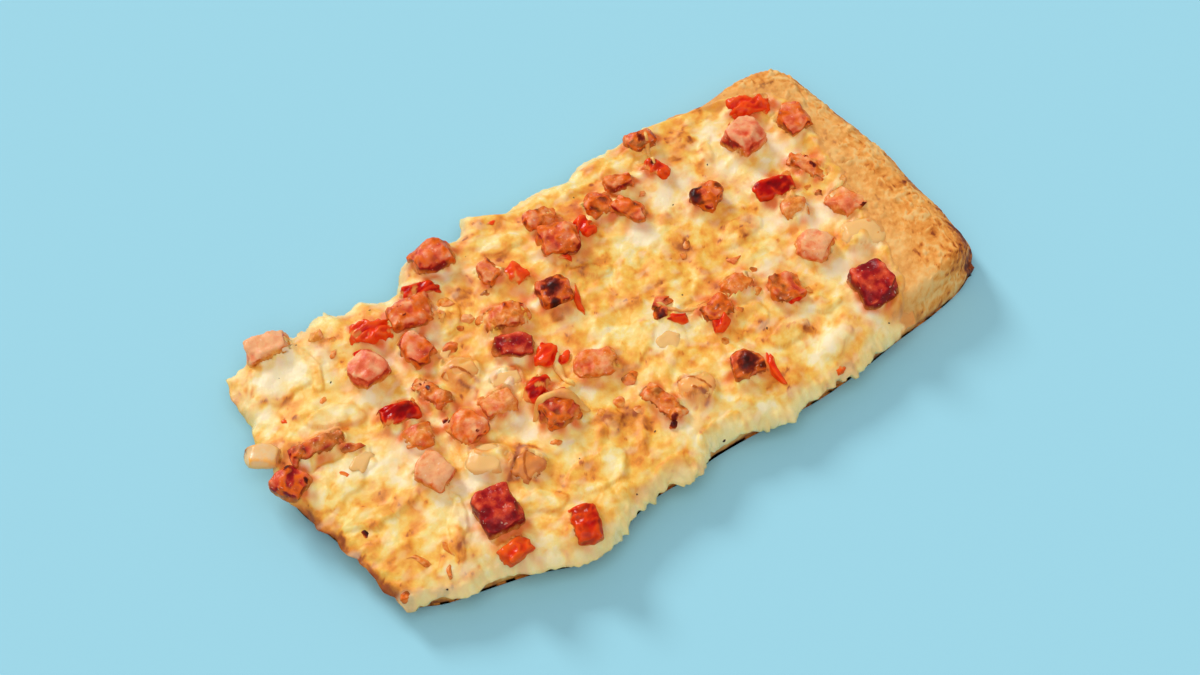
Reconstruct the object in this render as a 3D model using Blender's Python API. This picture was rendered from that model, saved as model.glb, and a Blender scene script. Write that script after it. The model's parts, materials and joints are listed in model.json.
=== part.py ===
"""A rectangular slice of bacon pizza, cut from a baking sheet: bread with a crust at one short end,
melted cheese, and dice of bacon, red pepper and onion sunk into the cheese.

The slice lies on its flat underside. +X runs along it towards the crust, +Y across it, +Z up, and
the origin is at the middle of its footprint. Sizes are written in millimetres.
"""

import math
import random

import bmesh
import bpy
import numpy as np
from mathutils import Matrix, Vector, noise

MM = 0.001

# Heights of the layers, from the table up
BREAD_FLOOR = 6.8
BREAD_WIDEST = 3.6
RIM_TOP = 12.3
RIM_CREST = 1.3
GAP = 0.3
CHEESE_BASE = BREAD_FLOOR + GAP
CHEESE_TOP = 11.5

# The point of the layout below that is moved to the origin, the middle of the whole footprint
MIDDLE = (-0.47, -1.56)

# Where the slice's four bread sides run, as points along and across the slice
BREAD_NEAR = (
    (-86, -36.5), (-78, -40.5), (-70, -42.5), (-62, -44.5), (-55, -46.5), (-48, -49.5), (-42, -51.5),
    (-35, -50.5), (-27, -48), (-18, -46), (-8, -46), (3, -45), (15, -45.5), (28, -46.5), (40, -46.5),
    (52, -45.5), (64, -44), (76, -43), (87, -41), (93, -38.5),
)
BREAD_FAR = (
    (-88.5, 41.5), (-80, 44), (-68, 42.5), (-55, 41.5), (-40, 39), (-30, 42.5), (-20, 45), (-10, 46.5),
    (0, 45.5), (15, 44.5), (30, 45.5), (45, 47), (57, 48), (67, 48.5), (74, 49.3), (81, 48.8),
    (87, 47), (91.5, 43),
)
BREAD_LEFT = (
    (-86, -36.5), (-87.5, -29), (-88.5, -21), (-91, -9), (-93.5, 1), (-94, 10), (-92.5, 17),
    (-91, 24), (-90, 33), (-90, 38), (-88.5, 41.5),
)
BREAD_END = (
    (93, -38.5), (96.5, -34.5), (97.5, -29), (98.3, -18), (98, -8), (98.5, 4), (97.2, 14), (95.8, 25),
    (94.8, 34), (91.5, 43),
)

# Where the melted cheese ends: over the three cut sides, and on top of the crust
CHEESE_NEAR = (
    (-88, -39), (-80, -42), (-76, -44.5), (-70, -45.5), (-64, -45.5), (-60, -48), (-54, -50),
    (-49, -52.5), (-44, -55), (-37.5, -55), (-30.5, -52), (-22.5, -49.5), (-15, -48.5), (-8.5, -51),
    (-2.5, -48.5), (2, -45.5), (12.5, -47.5), (20.5, -51), (29, -49), (40, -49), (48.5, -48.5),
    (54, -46.5), (61, -46), (66.5, -45.5),
)
CHEESE_FAR = (
    (-90, 43.5), (-81, 46.5), (-73, 48), (-69, 45), (-64.5, 45.5), (-58.5, 46.5), (-54.5, 43.5),
    (-50, 45), (-46, 42.5), (-41, 41.5), (-36.5, 44.5), (-32.5, 48.5), (-21, 49), (-16.5, 47),
    (-14.5, 48.5), (-11.5, 52.5), (-7.5, 50), (-3, 47.5), (2, 47.5), (11, 48), (16.5, 46.5),
    (22.5, 48.5), (31, 48.5), (37.5, 48.5), (44, 49.5), (50.5, 48.5), (57, 48.5),
)
CHEESE_LEFT = (
    (-88, -39), (-89.5, -29), (-90.5, -21.5), (-93, -9), (-95.5, 2), (-96, 8), (-94.5, 14),
    (-93, 23), (-91.5, 33), (-92, 39), (-90, 43.5),
)
CHEESE_CRUST = (
    (66.5, -45.5), (70.5, -40), (74.5, -34), (77, -26), (79, -18), (80.5, -10), (82.5, 0),
    (84.5, 10), (87, 20), (86.5, 31), (80, 39.5), (68, 45), (57, 48.5),
)

# Bacon dice: along, across, length, width, height above the cheese, turn in degrees
BACON = (
    (65.1, 26.8, 9.5, 9.0, 5.2, 10),
    (80.3, 24.4, 7.8, 9.8, 4.2, 2),
    (73.8, 9.4, 4.8, 12.0, 2.6, 18),
    (62.1, 0.2, 7.0, 6.5, 2.2, -20),
    (74.3, -6.0, 8.5, 9.5, 3.6, 12),
    (58.3, -12.9, 8.6, 9.2, 4.0, 25),
    (62.6, -32.6, 10.0, 11.4, 5.6, -8),
    (43.3, -19.5, 9.0, 7.6, 3.4, -15),
    (34.0, -11.0, 9.0, 6.0, 2.4, -10),
    (24.2, -14.4, 8.5, 7.2, 3.4, -5),
    (44.6, 17.0, 8.4, 7.6, 4.8, 30),
    (41.5, 43.2, 7.8, 5.4, 3.6, -12),
    (28.4, 34.6, 7.6, 4.8, 4.0, -13),
    (19.6, 32.0, 7.6, 7.0, 3.0, 5),
    (25.4, 25.4, 5.6, 9.6, 3.6, 20),
    (3.8, 36.4, 8.6, 5.4, 3.6, -16),
    (3.6, 27.4, 11.0, 8.8, 5.0, -26),
    (-26.8, 43.0, 11.6, 8.0, 4.4, -14),
    (-17.4, 30.0, 5.2, 7.4, 3.2, 5),
    (-7.3, 14.4, 8.6, 7.2, 4.2, -9),
    (-41.5, 30.4, 11.4, 8.2, 4.4, -12),
    (-22.0, 15.2, 12.6, 7.0, 3.6, -14),
    (-25.6, 6.8, 11.0, 6.4, 3.8, -28),
    (-77.0, 43.4, 11.6, 7.0, 3.4, -14),
    (-46.4, 20.2, 7.8, 9.8, 4.2, 4),
    (-60.2, 21.8, 9.4, 8.8, 5.2, 10),
    (-11.0, -10.2, 10.4, 7.8, 2.8, -24),
    (-38.4, -6.2, 8.4, 6.6, 3.2, -15),
    (-27.2, -16.4, 9.8, 9.6, 4.6, -10),
    (-50.4, 6.6, 4.8, 11.4, 2.6, 18),
    (-60.2, -2.4, 7.0, 6.4, 2.4, -20),
    (-48.9, -7.2, 8.4, 9.0, 3.6, 12),
    (-62.8, -13.9, 8.6, 9.2, 4.0, 25),
    (-56.7, -32.6, 10.0, 11.4, 5.6, -8),
    (-81.6, 10.0, 13.0, 4.2, 2.4, -8),
    (-93.4, 5.2, 7.6, 8.4, 3.0, 20),
    (19.8, -33.0, 8.6, 7.2, 4.2, -9),
    (-4.0, -29.6, 5.0, 12.4, 2.6, 12),
)

# Red pepper: along, across, length, width, height above the cheese, turn in degrees
PEPPER = (
    (73.4, 36.0, 10.0, 5.4, 2.6, -26),
    (61.7, 9.0, 10.8, 6.0, 2.4, -17),
    (39.2, 32.4, 4.2, 7.4, 2.4, 18),
    (12.2, 27.6, 4.6, 6.0, 2.6, 10),
    (-35.3, 36.0, 10.4, 3.6, 2.0, -18),
    (-11.9, 25.4, 4.8, 6.4, 2.6, 12),
    (-53.0, 32.0, 10.4, 5.6, 2.6, -24),
    (-20.2, -0.6, 6.4, 5.0, 2.8, 35),
    (-28.0, -7.6, 8.6, 5.0, 2.4, 28),
    (-61.0, 6.3, 10.8, 5.8, 2.4, -17),
    (-58.8, -43.4, 7.6, 5.2, 2.4, 10),
    (-40.6, -47.6, 6.6, 9.4, 3.2, -20),
)

# Onion: along, across, length, width, height above the cheese, turn in degrees
ONION = (
    (71.6, -17.2, 11.6, 8.2, 2.4, -30),
    (-40.6, 8.6, 9.6, 6.8, 2.2, -30),
    (-32.6, -0.6, 8.4, 5.6, 1.8, -20),
    (-49.6, -18.0, 11.6, 8.2, 2.4, -30),
    (-42.6, -25.8, 7.8, 7.2, 2.6, 20),
    (-94.8, 16.4, 9.2, 6.6, 2.2, -30),
    (6.0, -30.6, 9.6, 7.2, 2.2, -30),
)

# Small scraps that are fused to the cheese: along, across, length, width, height, turn in degrees
SCRAPS = (
    (-2.8, 8.8, 9.5, 1.9, 1.0, 74),
    (26.8, -37.4, 9.5, 1.9, 1.0, 74),
    (16.2, -10.4, 5.2, 2.6, 1.6, -20),
    (11.6, -6.6, 3.0, 2.8, 2.0, 0),
    (16.4, -2.0, 5.6, 4.0, 1.8, 10),
    (-37.6, 16.6, 4.2, 4.6, 2.0, 15),
    (-6.4, -18.6, 5.4, 3.8, 1.8, -20),
    (9.8, -15.4, 7.4, 5.4, 0.9, -30),
    (-73.4, 21.4, 3.2, 2.8, 1.2, 30),
    (-84.6, 22.6, 2.8, 1.8, 0.8, -40),
    (-80.6, -1.0, 3.6, 1.8, 0.8, -60),
    (-84.4, -17.4, 2.8, 3.0, 1.2, 10),
    (-71.6, -32.4, 2.4, 6.0, 1.0, 10),
    (-79.4, -31.0, 8.0, 2.4, 0.8, -58),
    (40.2, -45.6, 3.4, 2.6, 1.0, 0),
    (38.6, -3.4, 4.4, 2.2, 0.8, -20),
)

# How deep the pieces sit in the cheese, and the least cheese left under their pockets
BACON_SINK = 3.0
PEPPER_SINK = 1.6
ONION_SINK = 1.4
SCRAP_SINK = 1.6
LEAST_UNDER = 0.4

# The cheese's grid: cells along and across, and how much they crowd towards the four sides
CHEESE_CELLS = (50, 24)
CHEESE_CROWD = ((0.3, 0.3), (0.45, 0.45))
BREAD_CELLS = (46, 14)
BREAD_CROWD = ((0, 0.8), (0.75, 0.75))


def clear_scene():
    for old in list(bpy.data.objects):
        bpy.data.objects.remove(old)


def collection(name):
    made = bpy.data.collections.new(name)
    bpy.context.scene.collection.children.link(made)
    return made


def material(name, colour, roughness):
    made = bpy.data.materials.new(name)
    made.use_nodes = True
    shader = made.node_tree.nodes["Principled BSDF"]
    shader.inputs["Base Color"].default_value = (*colour, 1)
    shader.inputs["Roughness"].default_value = roughness
    shader.inputs["Metallic"].default_value = 0
    return made


def add_object(name, bm, group, surface=None):
    """Makes a mesh in the layout's millimetres into an object in metres."""
    bmesh.ops.recalc_face_normals(bm, faces=bm.faces)
    bmesh.ops.translate(bm, vec=(-MIDDLE[0], -MIDDLE[1], 0), verts=bm.verts)
    bmesh.ops.scale(bm, vec=(MM, MM, MM), verts=bm.verts)
    mesh = bpy.data.meshes.new(name)
    bm.to_mesh(mesh)
    bm.free()
    made = bpy.data.objects.new(name, mesh)
    group.objects.link(made)
    if surface:
        mesh.materials.append(surface)
    return made


def along(points, shares, steps=12):
    """Points of the smooth curve through the given ones, at these shares of its length."""
    given = np.array(points, float)
    padded = np.vstack([given[:1], given, given[-1:]])
    fine = [given[0]]
    for a, b, c, d in zip(padded, padded[1:], padded[2:], padded[3:]):
        for step in range(1, steps + 1):
            t = step / steps
            bend = (2 * a - 5 * b + 4 * c - d) * t**2 + (3 * b - a - 3 * c + d) * t**3
            fine.append((2 * b + (c - a) * t + bend) / 2)
    fine = np.array(fine)
    run = np.concatenate([[0], np.cumsum(np.linalg.norm(np.diff(fine, axis=0), axis=1))])
    wanted = np.array(shares) * run[-1]
    return np.stack([np.interp(wanted, run, fine[:, k]) for k in range(2)], axis=1)


def crowded(count, start, end):
    """Shares from 0 to 1 that crowd towards the ends by the given amounts, from 0 to 1."""
    t = np.linspace(0, 1, count + 1)
    pull = np.where(t < 0.5, start, end)
    return t - pull * np.sin(2 * math.pi * t) / (2 * math.pi)


def plan(near, far, left, right, across_shares, up_shares):
    """The plan position of each grid point between four side curves that meet at their ends."""
    n, f = along(near, across_shares), along(far, across_shares)
    l, r = along(left, up_shares), along(right, up_shares)
    u = np.array(across_shares)[:, None, None]
    v = np.array(up_shares)[None, :, None]
    corners = (1 - u) * (1 - v) * n[0] + u * (1 - v) * n[-1] + (1 - u) * v * f[0] + u * v * f[-1]
    sides = (1 - v) * n[:, None] + v * f[:, None] + (1 - u) * l[None] + u * r[None]
    return sides - corners


def layer(sides, cells, crowd, top, bottom, inset):
    """A slab between four side curves. top gives the height of a point from its place and its
    distances to the near, right, far and left sides. The underside is flat, and drawn in by inset."""
    columns, rows = cells
    across_shares = crowded(columns, *crowd[0])
    up_shares = crowded(rows, *crowd[1])
    place = plan(*sides, across_shares, up_shares)
    bm = bmesh.new()
    bmesh.ops.create_grid(bm, x_segments=columns, y_segments=rows, size=0.5)
    for vert in bm.verts:
        i = round((vert.co.x + 0.5) * columns)
        j = round((vert.co.y + 0.5) * rows)
        x, y = place[i, j]
        width = np.linalg.norm(place[i, -1] - place[i, 0])
        length = np.linalg.norm(place[-1, j] - place[0, j])
        u, v = across_shares[i], up_shares[j]
        reach = (v * width, (1 - u) * length, (1 - v) * width, u * length)
        vert.co = (x, y, top(x, y, reach))
    rim = [edge for edge in bm.edges if edge.is_boundary]
    wall = bmesh.ops.extrude_edge_only(bm, edges=rim)["geom"]
    foot = [item for item in wall if isinstance(item, bmesh.types.BMVert)]
    for vert in foot:
        vert.co.z = bottom
    draw_in(foot, inset)
    bmesh.ops.holes_fill(bm, edges=[e for e in bm.edges if e.is_boundary], sides=0)
    return bm


def draw_in(loop, distance):
    """Moves the points of a closed loop towards its inside, square to the loop."""
    middle = sum((vert.co.xy for vert in loop), Vector((0, 0))) / len(loop)
    moves = {}
    for vert in loop:
        a, b = [e.other_vert(vert) for e in vert.link_edges if e.is_boundary]
        side = (b.co.xy - a.co.xy).normalized()
        inward = Vector((-side.y, side.x))
        if inward.dot(middle - vert.co.xy) < 0:
            inward = -inward
        moves[vert] = inward * distance
    for vert, move in moves.items():
        vert.co.xy += move


def rounded(distance, radius):
    """How far up a quarter-round edge is, from 0 at the edge to 1 past its radius."""
    share = min(max(distance / radius, 0), 1)
    return math.sqrt(1 - (1 - share) ** 2)


def bread_top(x, y, reach):
    near, right, far, _ = reach
    crest = RIM_CREST * math.exp(-(((right - 11) / 9) ** 2))
    wrinkle = 0.5 * noise.noise(Vector((x / 9, y / 9, 2.0)))
    share = rounded(right, 8.5) * rounded(near, 5.5) * rounded(far, 6.5)
    return BREAD_WIDEST + (RIM_TOP + crest + wrinkle - BREAD_WIDEST) * share


def cheese_waves(x, y):
    broad = 0.75 * noise.noise(Vector((x / 15, y / 15, 5.0)))
    lumps = 0.5 * noise.noise(Vector((x / 6, y / 6, 9.0)))
    thinner_at_the_cut = 1.3 * min(max((-66 - x) / 24, 0), 1)
    return CHEESE_TOP + broad + lumps - thinner_at_the_cut


def cheese_top(x, y, reach):
    near, right, far, left = reach
    share = rounded(near, 6) * rounded(far, 6) * rounded(left, 7)
    edge = CHEESE_BASE + 0.8
    lap = 0.9 * max(1 - right / 9, 0)
    return edge + (cheese_waves(x, y) + lap - edge) * share


def lump(size, roundness, cuts, seed, jitter, bend=0):
    """A rough block of this size over all: a cube with softened corners, uneven faces and a bend
    along its length."""
    rng = random.Random(seed)
    bm = bmesh.new()
    bmesh.ops.create_cube(bm, size=2)
    bmesh.ops.subdivide_edges(bm, edges=bm.edges, cuts=cuts, use_grid_fill=True)
    for vert in bm.verts:
        ball = vert.co.normalized() * 1.18
        shape = vert.co.lerp(ball, roundness)
        vert.co = shape + Vector([rng.uniform(-jitter, jitter) for _ in range(3)])
        vert.co.z -= bend * vert.co.x ** 2
    for k in range(3):
        low, high = [pick(vert.co[k] for vert in bm.verts) for pick in (min, max)]
        for vert in bm.verts:
            vert.co[k] = ((vert.co[k] - low) / (high - low) - 0.5) * size[k]
    return bm


def stood(x, y, middle, turn, tilt=(0, 0)):
    """The place of a block whose middle is at this height, turned in plan and tilted a little."""
    place = Matrix.Translation((x, y, middle)) @ Matrix.Rotation(math.radians(turn), 4, "Z")
    for axis, angle in zip("XY", tilt):
        place = place @ Matrix.Rotation(math.radians(angle), 4, axis)
    return place


def add_toppings(kind, rows, sink, shape, surface, parts, cutters):
    """Makes each piece, and the slightly larger box that its pocket in the cheese is cut with."""
    for number, (x, y, length, width, rise, turn) in enumerate(rows, 1):
        name = f"{kind}_{number:02d}"
        rng = random.Random(name)
        tilt = (rng.uniform(-4, 4), rng.uniform(-4, 4))
        lift = (abs(tilt[0]) * width + abs(tilt[1]) * length) * math.radians(0.5)
        base = max(cheese_waves(x, y) - sink, CHEESE_BASE + LEAST_UNDER + GAP + lift)
        height = cheese_waves(x, y) + rise - base
        place = stood(x, y, base + height / 2, turn, tilt)
        cuts = 2 if length * width > 55 else 1
        block = lump((length, width, height), shape["roundness"], cuts, name, 0.09, shape["bend"])
        bmesh.ops.transform(block, matrix=place, verts=block.verts)
        add_object(name, block, parts, surface)
        pocket = bmesh.new()
        bmesh.ops.create_cube(pocket, size=1)
        bmesh.ops.scale(pocket, vec=[k + 2 * GAP for k in (length, width, height)], verts=pocket.verts)
        bmesh.ops.transform(pocket, matrix=place, verts=pocket.verts)
        cutter = add_object(f"pocket_{name}", pocket, cutters)
        cutter.hide_render = True
        cutter.display_type = "WIRE"


def boolean(target, operation, group):
    """Joins or cuts with every object of a collection, and applies it."""
    step = target.modifiers.new(operation.lower(), "BOOLEAN")
    step.operation = operation
    step.operand_type = "COLLECTION"
    step.collection = group
    step.solver = "EXACT"
    bpy.context.view_layer.update()
    ready = target.evaluated_get(bpy.context.evaluated_depsgraph_get())
    made = bpy.data.meshes.new_from_object(ready)
    target.modifiers.clear()
    target.data = made
    for used in list(group.objects):
        bpy.data.objects.remove(used)


def add_bread(parts, cutters):
    sides = (BREAD_NEAR, BREAD_FAR, BREAD_LEFT, BREAD_END)
    bm = layer(sides, BREAD_CELLS, BREAD_CROWD, bread_top, 0, 1.3)
    bread = add_object("bread", bm, parts, material("baked_bread", (0.72, 0.42, 0.17), 0.75))
    boolean(bread, "DIFFERENCE", add_tray(cutters))


def add_tray(cutters):
    """The block that cuts the level floor for sauce and cheese out of the bread."""
    wall = along(CHEESE_CRUST, crowded(CHEESE_CELLS[1], *CHEESE_CROWD[1]))
    step = np.gradient(wall, axis=0)
    outward = np.stack([step[:, 1], -step[:, 0]], axis=1)
    outward /= np.linalg.norm(outward, axis=1)[:, None]
    wall = wall + outward * GAP * 1.4
    reach = 75
    corners = [(wall[-1][0], reach), (-1.5 * reach, reach), (-1.5 * reach, -reach), (wall[0][0], -reach)]
    bm = bmesh.new()
    floor = bm.faces.new([bm.verts.new((*point, BREAD_FLOOR)) for point in [*wall, *corners]])
    lid = bmesh.ops.extrude_face_region(bm, geom=[floor])["geom"]
    raised = [item for item in lid if isinstance(item, bmesh.types.BMVert)]
    bmesh.ops.translate(bm, vec=(0, 0, 30), verts=raised)
    add_object("tray", bm, cutters)
    return cutters


def add_cheese(parts, cutters):
    sides = (CHEESE_NEAR, CHEESE_FAR, CHEESE_LEFT, CHEESE_CRUST)
    bm = layer(sides, CHEESE_CELLS, CHEESE_CROWD, cheese_top, CHEESE_BASE, 0.5)
    cheese = add_object("cheese", bm, parts, material("melted_cheese", (0.89, 0.62, 0.22), 0.35))
    scraps = collection("scraps")
    for number, (x, y, length, width, rise, turn) in enumerate(SCRAPS):
        block = lump((length, width, rise + SCRAP_SINK), 0.35, 1, number, 0.08)
        middle = cheese_waves(x, y) + (rise - SCRAP_SINK) / 2
        bmesh.ops.transform(block, matrix=stood(x, y, middle, turn), verts=block.verts)
        add_object(f"scrap_{number:02d}", block, scraps)
    boolean(cheese, "UNION", scraps)
    boolean(cheese, "DIFFERENCE", cutters)


def main():
    clear_scene()
    parts = collection("bacon_pizza_slice")
    add_bread(parts, collection("tray_cutter"))
    pockets = collection("pockets")
    dice = {"roundness": 0.3, "bend": 0}
    strips = {"roundness": 0.25, "bend": 0.2}
    petals = {"roundness": 0.6, "bend": 0.3}
    bacon = material("cured_bacon", (0.58, 0.16, 0.11), 0.4)
    pepper = material("red_pepper", (0.62, 0.03, 0.01), 0.25)
    onion = material("soft_onion", (0.82, 0.66, 0.38), 0.3)
    add_toppings("bacon", BACON, BACON_SINK, dice, bacon, parts, pockets)
    add_toppings("pepper", PEPPER, PEPPER_SINK, strips, pepper, parts, pockets)
    add_toppings("onion", ONION, ONION_SINK, petals, onion, parts, pockets)
    add_cheese(parts, pockets)


main()
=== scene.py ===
"""The finished look of a rectangular slice of bacon pizza, dressed over its solids.

The sections follow the slice as it is made: bread, melted cheese, bacon, red pepper, onion, small
bits, pulled strands of cheese and ground pepper. Sizes and places are in millimetres, in the slice's
own frame, with +X to the crust.
"""

import json
import math
import random

import bmesh
import bpy
import numpy as np
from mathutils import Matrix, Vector, kdtree, noise
from mathutils.bvhtree import BVHTree

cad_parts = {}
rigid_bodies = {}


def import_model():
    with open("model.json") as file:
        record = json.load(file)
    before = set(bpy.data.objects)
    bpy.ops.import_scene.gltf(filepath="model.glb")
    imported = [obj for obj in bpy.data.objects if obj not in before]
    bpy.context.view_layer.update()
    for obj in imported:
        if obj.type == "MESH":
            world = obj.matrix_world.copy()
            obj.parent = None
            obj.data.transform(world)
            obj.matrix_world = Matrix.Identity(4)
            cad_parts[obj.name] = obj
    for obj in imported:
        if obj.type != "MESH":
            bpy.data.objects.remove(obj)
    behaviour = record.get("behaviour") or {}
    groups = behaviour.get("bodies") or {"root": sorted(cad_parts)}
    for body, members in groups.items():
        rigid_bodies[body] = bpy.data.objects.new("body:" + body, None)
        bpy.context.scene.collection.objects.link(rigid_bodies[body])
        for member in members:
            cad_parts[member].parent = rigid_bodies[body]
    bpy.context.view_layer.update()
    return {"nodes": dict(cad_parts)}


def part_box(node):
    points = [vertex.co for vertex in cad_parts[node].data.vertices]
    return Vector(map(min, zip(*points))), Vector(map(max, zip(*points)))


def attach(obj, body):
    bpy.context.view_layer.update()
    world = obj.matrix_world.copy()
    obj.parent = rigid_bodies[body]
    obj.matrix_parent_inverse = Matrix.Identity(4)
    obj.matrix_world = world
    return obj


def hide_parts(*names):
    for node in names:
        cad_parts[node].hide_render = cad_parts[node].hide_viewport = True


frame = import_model()

# Board, daylight and camera. The slice lies on a smooth pale blue board. A soft low light shines from
# behind its far side, a broad diffuser hangs overhead, and a pale sky fills in from all round. The
# camera looks down over the near side.
MM = 0.001
BOARD_SIZE = 4000
BOARD_TOP = -0.05
AIM = Vector((-2.48, 1.06, 6.0)) * MM
AZIMUTH = math.radians(-35.4)
ELEVATION = math.radians(55)
DISTANCE = 612 * MM
LENS = 70
SENSOR = 36
LIGHT_LEAN = math.radians(-60)
LIGHT_TURN = math.radians(4)
LIGHT_SPREAD = math.radians(17)
LIGHT_STRENGTH = 1.8
FILL_LEAN = math.radians(25)
FILL_SPREAD = math.radians(60)
FILL_STRENGTH = 1.03
SKY_STRENGTH = 0.42


def linear(hex_code):
    """An sRGB hex colour as the linear RGBA that shaders take."""
    parts = [int(hex_code[k : k + 2], 16) / 255 for k in (0, 2, 4)]
    return (*[c / 12.92 if c <= 0.04045 else ((c + 0.055) / 1.055) ** 2.4 for c in parts], 1)


def feed(node, inputs):
    """Gives each of these inputs of a node its value, or links it to the socket that feeds it."""
    for name, value in inputs.items():
        if isinstance(value, bpy.types.NodeSocket):
            node.id_data.links.new(value, node.inputs[name])
        else:
            node.inputs[name].default_value = value


def add_node(tree, kind, inputs=None, stops=(), output=0, **settings):
    """Adds a node with these settings and inputs, and gives back one of its outputs. The stops of a
    colour ramp are each a share and an sRGB hex colour."""
    made = tree.nodes.new(kind)
    for name, value in settings.items():
        setattr(made, name, value)
    feed(made, inputs or {})
    for _ in stops[2:]:
        made.color_ramp.elements.new(0.5)
    for element, (share, hex_code) in zip(made.color_ramp.elements if stops else (), stops):
        element.position = share
        element.color = linear(hex_code)
    return made.outputs[output]


def new_material(name):
    """A material, its node tree and its main shader."""
    made = bpy.data.materials.new(name)
    made.use_nodes = True
    return made, made.node_tree, made.node_tree.nodes["Principled BSDF"]


bpy.ops.object.select_all(action="DESELECT")
bpy.ops.mesh.primitive_plane_add(size=BOARD_SIZE * MM, location=(0, 0, BOARD_TOP * MM))
board = bpy.context.object
board.name = "board"
bpy.ops.object.transform_apply(location=True, rotation=True, scale=True)
board_paint, tree, shader = new_material("matt_painted_board")
feed(shader, {"Base Color": linear("9ED7E8"), "Roughness": 0.9, "Specular IOR Level": 0.1})
board.data.materials.append(board_paint)

sky = bpy.data.worlds.new("soft_daylight")
bpy.context.scene.world = sky
sky.use_nodes = True
feed(sky.node_tree.nodes["Background"], {"Color": linear("FFFFFF"), "Strength": SKY_STRENGTH})

for name, strength, spread_angle, lean, turn in (
    ("window_light", LIGHT_STRENGTH, LIGHT_SPREAD, LIGHT_LEAN, LIGHT_TURN),
    ("overhead_diffuser", FILL_STRENGTH, FILL_SPREAD, FILL_LEAN, AZIMUTH),
):
    lamp = bpy.data.objects.new(name, bpy.data.lights.new(name, "SUN"))
    bpy.context.scene.collection.objects.link(lamp)
    lamp.data.energy = strength
    lamp.data.angle = spread_angle
    lamp.rotation_euler = (lean, 0, turn)

level_reach = math.cos(ELEVATION)
back = Vector((math.sin(AZIMUTH) * level_reach, -math.cos(AZIMUTH) * level_reach, math.sin(ELEVATION)))
camera = bpy.data.objects.new("camera", bpy.data.cameras.new("camera"))
bpy.context.scene.collection.objects.link(camera)
camera.data.lens = LENS
camera.data.sensor_width = SENSOR
camera.location = AIM + back * DISTANCE
camera.rotation_euler = back.to_track_quat("Z", "Y").to_euler()
bpy.context.scene.camera = camera
bpy.context.scene.view_settings.view_transform = "Standard"

# Bread: a flat yeast dough baked on a tray, tan and flaky, with a raised crust at one end. Its lower
# edges and the corner of the crust are browned most. The cheese hides the rest of its top.
WELD = 0.01
BREAD_FLOOR = 6.8
BREAD_WIDEST = 3.6
BREAD_MIDDLE = (0.0, 4.0)
RIM_TOP = 12.3
RIM_CREST = 1.3
CREST_FROM_END = 11
CREST_REACH = 9
END_ROUNDING = 8.5
NEAR_ROUNDING = 5.5
FAR_ROUNDING = 6.5
BROWNEST_CORNER = (95, -36)
BROWNEST_REACH = 7
BREAD_INSET = 1.3
BREAD_CORNERS = ((-85.5, -34.9), (93.5, -36.9), (92.0, 44.6), (-88.0, 43.1))
BREAD_CELLS = (240, 196)

# How the columns and rows of its grid crowd to its edges: shares of their number, then of the way
BREAD_COLUMNS = (
    (0, 0.03, 0.5, 0.8, 0.87, 0.905, 0.94, 0.97, 1),
    (0, 0.012, 0.78, 0.953, 0.976, 0.986, 0.994, 0.998, 1),
)
BREAD_ROWS = (
    (0, 0.018, 0.036, 0.054, 0.072, 0.11, 0.89, 0.928, 0.946, 0.964, 0.982, 1),
    (0, 0.002, 0.008, 0.018, 0.031, 0.063, 0.937, 0.969, 0.982, 0.992, 0.998, 1),
)

# The levels down its side: each one's height, and how far it draws in
BREAD_SIDE = {1: (2.2, 0.15), 2: (1.0, 0.5), 3: (0.25, 1.0), 4: (0.0, 1.9)}
CHEESE_CORNERS = ((-87.5, -37.4), (67.0, -43.9), (57.5, 50.1), (-89.5, 45.1))


def per_point(mesh, what):
    """The place (co) or outward direction (normal) of each point of a mesh, in its own units."""
    values = np.empty(len(mesh.vertices) * 3, np.float32)
    mesh.vertices.foreach_get(what, values)
    return values.reshape(-1, 3).astype(float)


def set_points(mesh, points):
    """Moves a mesh's points to these places in millimetres."""
    mesh.vertices.foreach_set("co", (points * MM).astype(np.float32).ravel())
    mesh.update()


def paint(mesh, **values):
    """Keeps a number for each point of a mesh, which its material reads by name."""
    for name, value in values.items():
        layer = mesh.attributes.new(name, "FLOAT", "POINT")
        layer.data.foreach_set("value", np.clip(value, 0, 1).astype(np.float32))


def waves(points, size, seed, stretch=1):
    """Smooth noise from -1 to 1 at each point, with lumps of this size in millimetres."""
    scaled = (points / size * (1, stretch, 1) + (0, 0, seed)).reshape(-1, 3)
    return np.array([noise.noise(Vector(p)) for p in scaled]).reshape(points.shape[:-1])


def ramp(value, low, high):
    """0 below low, 1 above high and smooth between, either way round."""
    t = np.clip((value - low) / (high - low), 0, 1)
    return t * t * (3 - 2 * t)


def rounded(distance, radius):
    """How far up a quarter-round edge is, from 0 at the edge to 1 past its radius."""
    return np.sqrt(1 - (1 - np.clip(distance / radius, 0, 1)) ** 2)


def foot_outline(name):
    """The outline of a solid's flat underside in millimetres, in order, anticlockwise from above."""
    bm = bmesh.new()
    bm.from_mesh(frame["nodes"][name].data)
    bmesh.ops.remove_doubles(bm, verts=bm.verts, dist=WELD * MM)
    low = min(vert.co.z for vert in bm.verts) + 2 * WELD * MM
    flat = {face for face in bm.faces if all(vert.co.z < low for vert in face.verts)}
    follows = {}
    for face in flat:
        for corner in face.loops:
            if sum(other in flat for other in corner.edge.link_faces) == 1:
                follows[corner.link_loop_next.vert] = corner.vert
    first = vert = next(iter(follows))
    ring = []
    while not ring or vert != first:
        ring.append(vert.co.xy / MM)
        vert = follows[vert]
    bm.free()
    return np.array(ring)


def four_sides(ring, corners):
    """The outline cut at its four corners: the near, end, far and start sides, each from low to high."""
    at = [int(np.argmin(np.linalg.norm(ring - corner, axis=1))) for corner in corners]
    runs = []
    for a, b in zip(at, at[1:] + at[:1]):
        runs.append(ring[a : b + 1] if b > a else np.vstack([ring[a:], ring[: b + 1]]))
    return runs[0], runs[1], runs[2][::-1], runs[3][::-1]


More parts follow.
